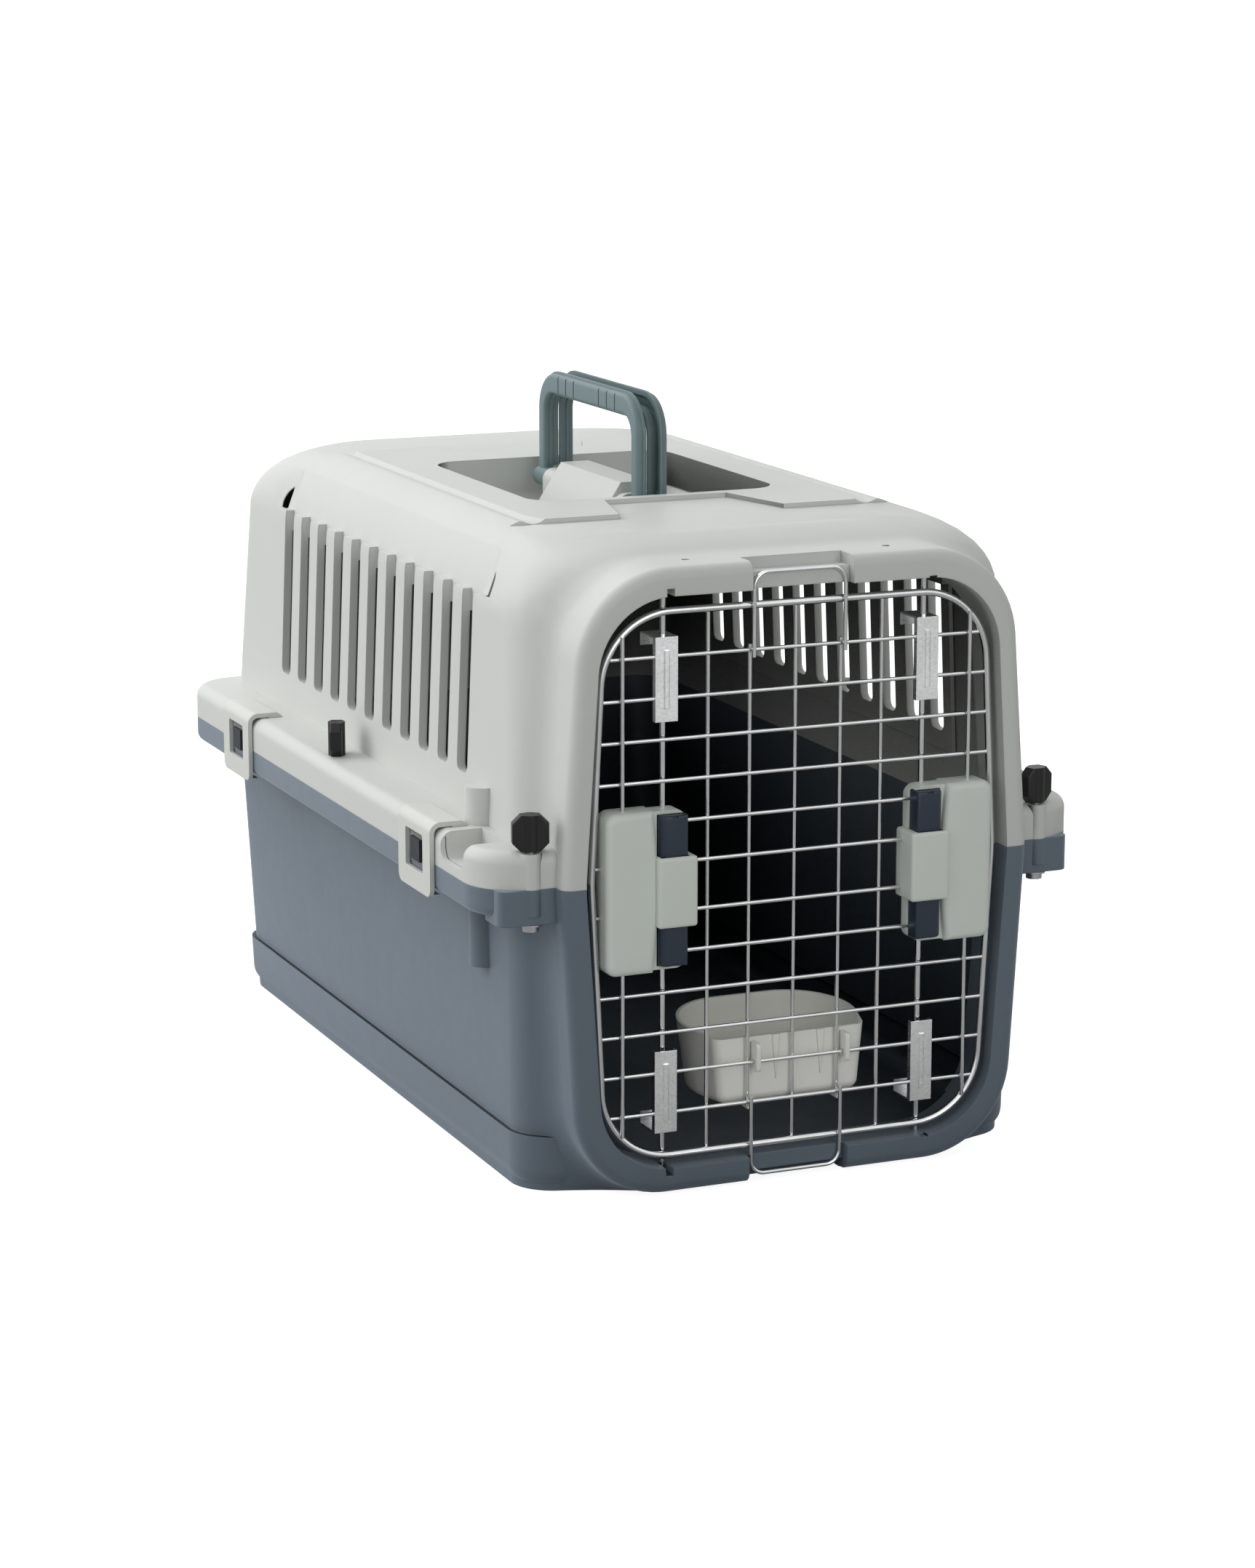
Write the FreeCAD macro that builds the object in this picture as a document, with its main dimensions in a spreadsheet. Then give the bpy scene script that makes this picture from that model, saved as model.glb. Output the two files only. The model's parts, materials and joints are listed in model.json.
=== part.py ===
"""Pet transport carrier: two moulded shells, wire door with slide latches, folding handle, rim clips.

Frame: X to the right as seen from the door, Y from the door to the back, Z up, millimetres.
The origin is on the floor, under the middle of the carrier.
"""

import FreeCAD, Part
import math
import os
import re

import Sketcher
from FreeCAD import Placement, Rotation, Vector

DIMENSIONS = [
    # the carrier as a whole
    ("carrier_length", 608), ("carrier_width", 400), ("roof_height", 393), ("seam_height", 195.5),
    ("wall", 3), ("body_half", 168.5), ("body_front", -273.5), ("body_back", 300),
    # upper shell: shoulders, roof and its stepped platform
    ("shoulder_height", 48), ("shoulder_run", 50), ("shoulder_half", 162), ("nose_run", 76),
    ("nose_power", 2.4), ("tail_run", 62), ("tail_lean", 8), ("plan_radius", 28), ("roof_radius", 66),
    ("platform_step", 3),
    # lower shell: sides, foot band and tail lean
    ("floor_half", 165.5), ("foot_height", 35), ("foot_proud", 2.5), ("floor_round", 14), ("tail_draft", 20),
    # rim that the shells meet on
    ("rim_front", -292), ("rim_height", 22.5), ("rim_depth", 17.5), ("rim_corner", 34), ("rim_round", 8),
    ("lug_depth", 21.5), ("lug_length", 44),
    # frame ring around the doorway
    ("ring_face", -304), ("ring_round", 7), ("ring_blend", 30), ("ring_root", -240), ("ring_half", 155),
    ("ring_top", 384), ("ring_bottom", 1), ("ring_radius", 60),
    ("ring_lean_top", 0.0724), ("ring_lean_low", 0.0588), ("opening_half", 140), ("opening_top", 367),
    ("opening_bottom", 17), ("opening_radius", 47), ("opening_lean_top", 0.0633), ("opening_lean_low", 0.067),
    ("notch_half", 33), ("notch_depth", 7.1), ("notch_drop", 7),
    # side vents
    ("vent_pitch", 34.2), ("vent_width", 18), ("vent_first", -168), ("vent_low", 242), ("vent_high", 354),
    ("vent_depth", 6.5), ("slat_thick", 5.5), ("hood_skin", 10), ("hood_rise", 20), ("hood_end", 50),
    # handle recess, pedestal and handle
    ("recess_half", 85), ("recess_front", -89), ("recess_back", 105), ("recess_depth", 28),
    ("recess_radius", 20), ("pedestal_half", 10), ("pedestal_spread", 21), ("pedestal_gap", 1.5),
    ("pedestal_top", 396), ("crest_front", -49), ("crest_back", 54), ("pivot_block", 7.5),
    ("handle_front", -78), ("handle_back", 94), ("handle_top", 455), ("handle_leg", 13), ("handle_bar", 16),
    ("handle_thick", 6), ("pivot_half", 8), ("pivot_height", 382), ("handle_hub", 6.5),
    ("handle_bend", 27), ("handle_inside", 12), ("handle_pin_radius", 2.5), ("running_gap", 0.06),
    ("handle_lip", 1.8), ("lip_proud", 1.3), ("handle_channel", 3.5), ("handle_side", 3), ("hub_reach", 6),
    ("web_gap", 0.5), ("web_inset", 10),
    ("groove_first", 21.5), ("groove_pitch", 13.5), ("groove_deep", 0.7), ("groove_wide", 1.4),
    # shell bolts and wing knobs
    ("bolt_radius", 3), ("bolt_hole", 3.3), ("bolt_top", 234), ("bolt_head_radius", 5), ("bolt_head", 3.5),
    ("washer_radius", 7), ("washer_thick", 1), ("front_bolt_half", 168.5), ("front_bolt_place", -286.5),
    ("side_bolt_half", 185), ("mid_bolt_place", 14),
    ("knob_width", 22), ("knob_thick", 8), ("knob_height", 22), ("knob_corner", 5), ("knob_core", 5.6),
    # tie-down hole and guide half-pillars in the front lugs
    ("tie_hole", 6), ("tie_half", 181.5), ("tie_place", 243), ("pillar_radius", 10.5), ("pillar_place", -205),
    ("scoop_front", -258), ("scoop_length", 38), ("scoop_floor", 202), ("scoop_round", 7),
    ("pillar_top", 241), ("pillar_foot", 129),
    # rim clips
    ("clip_width", 56), ("clip_front_place", -182), ("clip_back_place", 174), ("clip_thick", 3),
    ("clip_pivot_half", 184), ("clip_pivot_height", 216), ("clip_barrel", 5.4), ("clip_pin_radius", 1.5),
    ("clip_bend", 7), ("clip_gap", 0.4), ("clip_foot", 6),
    ("clip_low", 174.5), ("clip_lip", 3.5), ("clip_window_width", 30), ("clip_window_low", 187),
    ("clip_window_high", 211),
    # wire door
    ("door_plane", -295.4), ("door_half", 133.5), ("door_top", 357), ("door_bottom", 23), ("door_radius", 45),
    ("door_lean_top", 0.052), ("door_lean_low", 0.0498), ("frame_wire", 2.25), ("thin_wire", 1.25),
    ("door_middle", 190), ("mesh_first", 15), ("mesh_pitch", 25), ("upright_inner", 57.3), ("tab_half", 30),
    ("upright_outer", 114.5), ("tab_top", 377), ("tab_bottom", 5), ("rod_half", 86), ("rod_radius", 1.75),
    ("rod_back", 4.1), ("rod_grip", 4), ("lead_in", 5),
    # slide latches
    ("latch_outer", 128), ("latch_split", 97.5), ("latch_inner", 75), ("bridge_inner", 71), ("latch_tall", 49.5),
    ("cover_bulge", 3.3), ("slider_lip", 76), ("slider_step", 1.6),
    ("bridge_tall", 21.5), ("latch_front", 12), ("bridge_front", 16), ("tray_front", 6.5), ("latch_back", 6),
    ("latch_wall", 2), ("slider_low", 10), ("slider_high", 46), ("slider_inner", 79.4), ("slider_outer", 93.6),
    ("slider_gap", 0.4), ("spring_radius", 3.2), ("spring_wire", 0.4), ("latch_plate", 2),
    # stamped rod clips on the door
    ("stamp_low", 101), ("stamp_high", 152), ("stamp_width", 14.5), ("stamp_thick", 1), ("stamp_arm", 23),
    # feeding bowl
    ("bowl_half", 51), ("bowl_flare", 19), ("bowl_front", 5), ("bowl_depth", 75), ("bowl_rim_front", 89.5),
    ("bowl_rim_back", 95), ("bowl_bottom", 48), ("bowl_foot", 44), ("bowl_wall", 2), ("bowl_round", 40),
    ("hook_left", -25.5), ("hook_right", 34.5), ("hook_thick", 3),
]

doc = FreeCAD.newDocument("PetCarrier")
sheet = doc.addObject("Spreadsheet::Sheet", "Dimensions")
for row, (alias, value) in enumerate(DIMENSIONS, start=1):
    sheet.set(f"A{row}", alias)
    sheet.set(f"B{row}", str(value))
    sheet.setAlias(f"B{row}", alias)
doc.recompute()
SIZE = {alias: value for alias, value in DIMENSIONS}

ALONG_X = Rotation(Vector(0, 1, 0), 90)
ALONG_Y = Rotation(Vector(1, 0, 0), -90)
UPRIGHT = Rotation()
TO_XZ = Rotation(Vector(1, 0, 0), 90)
SIDES = (("left", -1), ("right", 1))
subparts = []


def rule(text):
    """An expression in which every driving dimension is written by its alias."""
    return re.sub(r"[a-z][a-z_]+", lambda m: "Dimensions." + m.group(0) if m.group(0) in SIZE else m.group(0),
                  str(text))


def bind(item, **rules):
    for name, text in rules.items():
        item.setExpression(name, rule(text))


def place(item, x=0, y=0, z=0, turn=UPRIGHT):
    """Puts an object's own origin at x, y, z, each a rule over the driving dimensions."""
    item.Placement = Placement(Vector(), turn)
    for axis, text in zip("xyz", (x, y, z)):
        item.setExpression("Placement.Base." + axis, rule(text))
    return item


def box(name, x, y, z, length, width, height):
    item = doc.addObject("Part::Box", name)
    bind(item, Length=length, Width=width, Height=height)
    return place(item, x, y, z)


def rod(name, radius, length, x, y, z, turn=UPRIGHT):
    item = doc.addObject("Part::Cylinder", name)
    bind(item, Radius=radius, Height=length)
    return place(item, x, y, z, turn)


def fuse(name, items):
    item = doc.addObject("Part::MultiFuse", name)
    item.Shapes = items
    item.Refine = True
    return item


def cut(name, base, tools):
    item = doc.addObject("Part::Cut", name)
    item.Base = base
    item.Tool = tools[0] if len(tools) == 1 else fuse(name + "_tools", tools)
    item.Refine = True
    return item


def common(name, first, second):
    item = doc.addObject("Part::Common", name)
    item.Base = first
    item.Tool = second
    return item


def group(name, items):
    item = doc.addObject("Part::Compound", name)
    item.Links = items
    return item


def solid(name, shape):
    item = doc.addObject("Part::Feature", name)
    item.Shape = shape
    return item


def rounded(name, base, radius, wanted):
    """Fillets the edges that wanted() picks; radius is the name of a driving dimension or a number."""
    doc.recompute()
    size = SIZE.get(radius, radius)
    picked = [(i, size, size) for i, edge in enumerate(base.Shape.Edges, start=1) if wanted(edge)]
    item = doc.addObject("Part::Fillet", name)
    item.Base = base
    item.Edges = picked
    return item


def runs_along(edge, axis):
    """True for a straight edge parallel to the axis."""
    if edge.Curve.TypeId != "Part::GeomLine":
        return False
    return abs(abs(getattr(edge.Curve.Direction, axis)) - 1) < 1e-6


def middle(edge):
    return edge.valueAt((edge.FirstParameter + edge.LastParameter) / 2)


def subpart(node, item):
    item.Label = node
    subparts.append((node, item))


# ---------------------------------------------------------------- outlines


def rounded_path(corners, radii, closed=True):
    """A wire through the corners, each corner replaced by a tangent arc of its own radius."""
    edges = []
    count = len(corners)
    joints = []
    for i, corner in enumerate(corners):
        if not closed and i in (0, count - 1):
            joints.append((corner, None, corner))
            continue
        to_last = (corners[i - 1] - corner).normalize()
        to_next = (corners[(i + 1) % count] - corner).normalize()
        half = to_last.getAngle(to_next) / 2
        reach = radii[i] / math.tan(half)
        centre = corner + (to_last + to_next).normalize() * (radii[i] / math.sin(half))
        inner = centre + (corner - centre).normalize() * radii[i]
        joints.append((corner + to_last * reach, inner, corner + to_next * reach))
    for i, (start, inner, end) in enumerate(joints):
        if inner is not None:
            edges.append(Part.Arc(start, inner, end).toShape())
        if closed or i < count - 1:
            follow = joints[(i + 1) % count][0]
            if end.distanceToPoint(follow) > 1e-6:
                edges.append(Part.LineSegment(end, follow).toShape())
    return Part.Wire(edges)


def doorway_outline(half, top, bottom, lean_top, lean_low, radius, y):
    """The doorway's outline: widest at the seam, leaning in above and below it, with round corners."""
    seam = SIZE["seam_height"]
    top_half = half - lean_top * (top - seam)
    low_half = half - lean_low * (seam - bottom)
    corners = [Vector(half, y, seam), Vector(top_half, y, top), Vector(-top_half, y, top),
               Vector(-half, y, seam), Vector(-low_half, y, bottom), Vector(low_half, y, bottom)]
    soft = 120
    return rounded_path(corners, [soft, radius, radius, soft, radius, radius])


def doorway_prism(half, top, bottom, lean_top, lean_low, radius, front, back):
    outline = doorway_outline(half, top, bottom, lean_top, lean_low, radius, front)
    return Part.Face(outline).extrude(Vector(0, back - front, 0))


def plan_outline(half, front, back, radius, height):
    """A rounded rectangle in plan, at one height."""
    corners = [Vector(-half, front, height), Vector(half, front, height),
               Vector(half, back, height), Vector(-half, back, height)]
    return rounded_path(corners, [radius] * 4)


def box_outline(name, plane, corners, depth, y):
    """A straight-sided sketch in the XZ plane at y, extruded towards +Y by depth; corners are rules."""
    sketch = doc.addObject("Sketcher::SketchObject", name + "_sketch")
    count = len(corners)
    spread = [Vector(100 * math.cos(2 * math.pi * i / count), 100 * math.sin(2 * math.pi * i / count), 0)
              for i in range(count)]
    for i in range(count):
        sketch.addGeometry(Part.LineSegment(spread[i], spread[(i + 1) % count]), False)
    for i in range(count):
        sketch.addConstraint(Sketcher.Constraint("Coincident", i, 2, (i + 1) % count, 1))
    for i, (across, up) in enumerate(corners):
        for kind, text, guess in (("DistanceX", across, spread[i].x), ("DistanceY", up, spread[i].y)):
            number = sketch.addConstraint(Sketcher.Constraint(kind, -1, 1, i, 1, guess))
            sketch.setExpression(f"Constraints[{number}]", rule(text))
    item = doc.addObject("Part::Extrusion", name)
    item.Base = sketch
    item.DirMode = "Custom"
    item.Solid = True
    if plane == "XZ":
        place(sketch, 0, y, 0, TO_XZ)
        item.Dir = Vector(0, 1, 0)
    else:
        place(sketch, 0, 0, y)
        item.Dir = Vector(0, 0, 1)
    bind(item, LengthFwd=depth)
    return item


# ---------------------------------------------------------------- the two shells


def upper_block(inset):
    """The upper shell's outside (inset 0) or its cavity (inset one wall): straight sides, then a shoulder."""
    shoulder = SIZE["roof_height"] - SIZE["shoulder_height"]
    seam = SIZE["seam_height"]

    def level(half, front, back, radius, height):
        return plan_outline(half - inset, front + inset, back - inset, max(radius - inset, 4), height)

    low = (SIZE["body_half"], SIZE["body_front"], SIZE["body_back"], SIZE["plan_radius"])
    high = (SIZE["shoulder_half"], SIZE["body_front"] + 4, SIZE["body_back"] - SIZE["tail_lean"],
            SIZE["plan_radius"] + 8)
    walls = Part.makeLoft([level(*low, seam), level(*high, shoulder)], True, True)
    rings = []
    steps = 9
    roof = inset + SIZE["platform_step"] if inset else 0
    for i in range(steps + 1):
        angle = math.pi / 2 * i / steps
        run, rise = 1 - math.cos(angle), math.sin(angle)
        rings.append(level(high[0] - SIZE["shoulder_run"] * run,
                           high[1] + SIZE["nose_run"] * run ** SIZE["nose_power"], high[2] - SIZE["tail_run"] * run,
                           high[3] + (SIZE["roof_radius"] - high[3]) * run,
                           shoulder + (SIZE["shoulder_height"] - roof) * rise))
    crown = Part.makeLoft(rings, True, False)
    return walls.fuse(crown)


def lower_sides(inset, low):
    """The lower shell's drafted sides, carried down to the height low."""
    seam, foot = SIZE["seam_height"], SIZE["foot_height"]
    fall = (seam - low) / (seam - foot)

    def level(half, front, back, height):
        return plan_outline(half - inset, front + inset, back - inset, SIZE["plan_radius"] - inset, height)

    half, front, back = SIZE["body_half"], SIZE["body_front"], SIZE["body_back"]
    draft = (half - SIZE["floor_half"]) * fall
    return Part.makeLoft([level(half - draft, front + draft, back - SIZE["tail_draft"] * fall, low),
                          level(half, front, back, seam)], True, True)


def foot_band(inset):
    """The proud band round the foot of the lower shell, or the cavity inside it."""
    floor, top = (SIZE["wall"], SIZE["foot_height"] - SIZE["wall"]) if inset else (0, SIZE["foot_height"])
    proud = SIZE["foot_proud"] - inset
    radius = SIZE["plan_radius"] - inset
    half, back = SIZE["floor_half"] + proud, SIZE["body_back"] - SIZE["tail_draft"] + proud
    front = SIZE["body_front"] + 3 - proud
    band = Part.makeLoft([plan_outline(half - 1, front, back - 2, radius, floor),
                          plan_outline(half, front, back, radius, top)], True, True)
    bottom = [e for e in band.Edges if abs(e.BoundBox.ZMax - floor) < 1e-6]
    return band.makeFillet(SIZE["floor_round"] - inset, bottom)


def lower_block(name, inset):
    """The lower shell's cavity (inset one wall) or its plain outside (inset 0)."""
    low = SIZE["foot_height"] - (SIZE["wall"] if inset else 0)
    return solid(name, lower_sides(inset, low).fuse(foot_band(inset)))


def rim_slab(name, low, height):
    """The rim as a full slab, round cornered in plan."""
    slab = box(name + "_slab", "-carrier_width / 2", "rim_front", low,
               "carrier_width", "carrier_length / 2 - rim_front", height)
    return rounded(name, slab, "rim_corner", lambda e: runs_along(e, "z"))


def rim_hollow(name, low, height):
    """The space inside the rim's lip, one wall in from its outside."""
    slab = box(name + "_slab", "-carrier_width / 2 + wall", "rim_front + wall", low,
               "carrier_width - 2 * wall", "carrier_length / 2 - rim_front - 2 * wall", height)
    return rounded(name, slab, SIZE["rim_corner"] - SIZE["wall"], lambda e: runs_along(e, "z"))


BOLTS = [("front", "front_bolt_half", "front_bolt_place"), ("mid", "side_bolt_half", "mid_bolt_place")]


def bolt_spots():
    """Every shell bolt as (name, X rule, Y rule)."""
    return [(f"{spot}_{side}", f"{sign} * {half}", along)
            for spot, half, along in BOLTS for side, sign in SIDES]


def ring_prism(front, back):
    return doorway_prism(SIZE["ring_half"], SIZE["ring_top"], SIZE["ring_bottom"], SIZE["ring_lean_top"],
                         SIZE["ring_lean_low"], SIZE["ring_radius"], front, back)


def with_ring(name, body, upper):
    """A shell's outside with its half of the doorway ring, a hollow fillet where the ring meets the body."""
    face, far = SIZE["ring_face"], 400
    ring = ring_prism(face, SIZE["ring_root"])
    base = SIZE["seam_height"] - (0 if upper else far)
    half = Part.makeBox(2 * far, 2 * far, far, Vector(-far, -far, base))
    mass = body.fuse(ring).common(half).removeSplitter()
    root = []
    for edge in mass.Edges:
        first, last = edge.FirstParameter, edge.LastParameter
        spots = [Part.Vertex(edge.valueAt(first + part * (last - first))) for part in (0.2, 0.5, 0.8)]
        flat = edge.BoundBox.ZLength < 1e-6 and abs(edge.BoundBox.ZMin - SIZE["seam_height"]) < 1e-6
        if not flat and all(ring.Shells[0].distToShape(spot)[0] < 1e-3
                            and body.Shells[0].distToShape(spot)[0] < 1e-3 for spot in spots):
            root.append(edge)
    mass = mass.makeFillet(SIZE["ring_blend"], root)
    outer = [e for e in mass.Edges if abs(e.BoundBox.YMax - face) < 1e-6
             and not (e.BoundBox.ZLength < 1e-6 and abs(e.BoundBox.ZMin - SIZE["seam_height"]) < 1e-6)]
    mass = mass.makeFillet(SIZE["ring_round"], outer)
    return solid(name, mass.common(Part.makeBox(2 * far, 2 * far, far, Vector(-far, -far, 0))))


def opening(name):
    return solid(name, doorway_prism(SIZE["opening_half"], SIZE["opening_top"], SIZE["opening_bottom"],
                                     SIZE["opening_lean_top"], SIZE["opening_lean_low"],
                                     SIZE["opening_radius"], SIZE["ring_face"] - 1, SIZE["body_front"] + 14))


def rod_sockets(name, edge, way):
    """Bores that the door's lock rods enter; the latch side is open to the front for the rod to pass."""
    depth = "(rod_grip + 0.6)"
    start = f"{edge} - 2" if way > 0 else f"{edge} - {depth}"
    tools = []
    for side, sign in SIDES:
        x = f"{sign} * rod_half"
        tools.append(rod(f"{name}_{side}", "rod_radius + 0.09", depth + " + 2", x,
                         "door_plane + rod_back", start))
    tools.append(box(name + "_lead", "-rod_half - lead_in / 2", "ring_face - 1", start,
                     "lead_in", "door_plane + rod_back - ring_face + 3", depth + " + 2"))
    tools.append(box(name + "_mark", "rod_half - lead_in / 2", "ring_face - 1",
                     f"{edge} - 1" if way > 0 else f"{edge} - 1.2", "lead_in", 7, 2.2))
    return tools


def vent_tools(side, sign):
    """One side's row of vent slots and the sunken hood above them."""
    tools = []
    skin = "(body_half + 12)"
    reach = 25
    for i in range(11):
        y = f"vent_first + {i} * vent_pitch"
        x = f"{sign} * {skin} - {0 if sign < 0 else 1} * ({reach})"
        slot = box(f"vent_{side}_{i}", x, f"{y} - vent_width / 2", "vent_low", reach, "vent_width",
                   "vent_high - 14 - vent_low")
        tools.append(rounded(f"vent_soft_{side}_{i}", slot, 5, lambda e: runs_along(e, "x")))
    return tools


def hood_tool(side, sign):
    """The flat that cuts the shoulder above the vents; its lower edge stands vent_depth behind the slats."""
    slope = 0.375
    rise = SIZE["hood_rise"] + 26
    low_x = f"{sign} * (shoulder_half - vent_depth)"
    high_x = f"{sign} * (shoulder_half - vent_depth - {slope} * {rise})"
    beyond = f"{sign} * (carrier_width / 2 + 40)"
    corners = [(low_x, "vent_high"), (beyond, "vent_high"), (beyond, f"vent_high + {rise}"),
               (high_x, f"vent_high + {rise}")]
    margin = "(hood_end + 3)"
    wedge = box_outline(f"hood_{side}", "XZ", corners, f"10 * vent_pitch + vent_width + 2 * {margin}",
                        f"vent_first - vent_width / 2 - {margin}")
    wedge = rounded(f"hood_soft_{side}", wedge, "hood_end",
                    lambda e: e.BoundBox.YLength < 1e-6 and abs(e.BoundBox.ZLength - rise) < 1e-6
                    and e.BoundBox.XLength > 1)
    grooves = []
    for i in range(11):
        x = f"{sign} * (shoulder_half - vent_depth) - {1 if sign < 0 else 0} * 40"
        grooves.append(box(f"groove_{side}_{i}", x,
                           f"vent_first + {i} * vent_pitch - vent_width / 2", "vent_high - 20", 40,
                           "vent_width", 21))
    return [wedge] + grooves


def vent_pads(block):
    """Thicker skin behind the vents and behind the hood, so that both keep a full wall."""
    skins = []
    for name, thick, low, high in (("slat", "slat_thick", "vent_low - 12", "vent_high - 10"),
                                   ("hood", "hood_skin", "vent_high - 14", "vent_high + hood_rise + 12")):
        sides = [box(f"{name}_pad_{side}", f"{sign} * carrier_width / 2 - {0 if sign < 0 else 1} * 65",
                     "vent_first - 20", low, 65, "10 * vent_pitch + 40", f"{high} - ({low})")
                 for side, sign in SIDES]
        slabs = common(name + "_slabs", fuse(name + "_pads", sides), block)
        skins.append(cut(name + "_skin", slabs, [solid(name + "_inside", upper_block(SIZE[thick]))]))
    return skins


def recess_tools():
    """The handle recess: the space that is cut and the skin that is left around it."""
    pocket = box("recess_space", "-recess_half", "recess_front", "roof_height - recess_depth",
                 "2 * recess_half", "recess_back - recess_front", "recess_depth + 10")
    pocket = rounded("recess_corners", pocket, "recess_radius", lambda e: runs_along(e, "z"))
    floor = SIZE["roof_height"] - SIZE["recess_depth"]
    doc.recompute()
    pocket = rounded("recess_pocket", pocket, 6, lambda e: abs(e.BoundBox.ZMax - floor) < 1e-6)
    skin = box("recess_skin_slab", "-recess_half - wall", "recess_front - wall",
               "roof_height - recess_depth - wall", "2 * recess_half + 2 * wall",
               "recess_back - recess_front + 2 * wall", "recess_depth + 1")
    skin = rounded("recess_skin", skin, "recess_radius", lambda e: runs_along(e, "z"))
    return pocket, skin


def pedestal():
    """The crest between the handle's legs, with sloping flanks, and the pivot blocks at its two ends."""
    low = "roof_height - recess_depth - 1"
    wide, narrow = "pedestal_half + pedestal_spread", "pedestal_half"
    corners = [(f"-{narrow}", "pedestal_top"), (narrow, "pedestal_top"), (wide, low), (f"-({wide})", low)]
    crest = box_outline("pedestal_crest", "XZ", corners, "crest_back - crest_front", "crest_front")
    reach = "handle_leg + hub_reach + pedestal_gap"
    length = f"handle_back - handle_front - 2 * ({reach})"
    start = f"handle_front + {reach}"
    blocks = [box("pivot_foot", "-pivot_half - pivot_block", start, low,
                  "2 * (pivot_half + pivot_block)", length,
                  f"pivot_height - ({low})"),
              box("pivot_bridge", "-pivot_half", start, "pivot_height", "2 * pivot_half", length, "pivot_block")]
    blocks += [rod("pivot_round_" + side, "pivot_block", length, f"{sign} * pivot_half", start, "pivot_height",
                   ALONG_Y) for side, sign in SIDES]
    return fuse("pedestal", [crest] + blocks)


def pin_bores():
    """Bores for the four handle pivot pins."""
    length = "handle_back - handle_front + 12"
    return [rod(f"pivot_bore_{side}", "handle_pin_radius", length, f"{sign} * pivot_half",
                "handle_front - 6", "pivot_height", ALONG_Y) for side, sign in SIDES]


def roof_steps():
    """What is taken off the roof in front of and behind the raised platform."""
    front = [(-150, -222), (150, -222), (150, -156), (56, -156), (42, -98), (-42, -98), (-56, -156),
             (-150, -156)]
    back = [(-150, 254), (-150, 178), (-56, 178), (-42, 142), (42, 142), (56, 178), (150, 178), (150, 254)]
    tools = []
    for name, corners in (("front_step", front), ("back_step", back)):
        item = box_outline(name, "XY", corners, 12, "roof_height - platform_step")
        tools.append(item)
    return tools


def doorway_notch(name, edge, way):
    """The notch in the ring's front that the door's wire tab closes against, with its tongue behind."""
    face = f"{edge} + 0" if way > 0 else f"{edge} - 40"
    space = box(name, "-notch_half", "ring_face - 1", face, "2 * notch_half", "notch_depth + 1", 40)
    return space


def clip_spots():
    return [(f"{spot}_{side}", sign, along) for spot, along in
            (("front", "clip_front_place"), ("back", "clip_back_place")) for side, sign in SIDES]


def clip_blocks():
    """Solid stretches of rim that carry the clip pins, and the wells that the clip barrels turn in."""
    blocks, wells, bores = [], [], []
    for name, sign, along in clip_spots():
        low_x = "clip_pivot_half - 16" if sign > 0 else "-(clip_pivot_half + 12)"
        blocks.append(box("clip_block_" + name, low_x, f"{along} - clip_width / 2 - 6",
                          "seam_height", 28, "clip_width + 12", "rim_height - 2"))
        clear = "(clip_barrel + 0.3)"
        well_x = f"clip_pivot_half - {clear}" if sign > 0 else f"-(clip_pivot_half + {clear})"
        wells.append(box("clip_well_" + name, well_x, f"{along} - clip_width / 2 - 0.5",
                         f"clip_pivot_height - {clear}", f"2 * {clear}", "clip_width + 1", 20))
        bores.append(rod("clip_bore_" + name, "clip_pin_radius", "clip_width + 8", f"{sign} * clip_pivot_half",
                         f"{along} - clip_width / 2 - 4", "clip_pivot_height", ALONG_Y))
    return blocks, wells, bores


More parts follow.
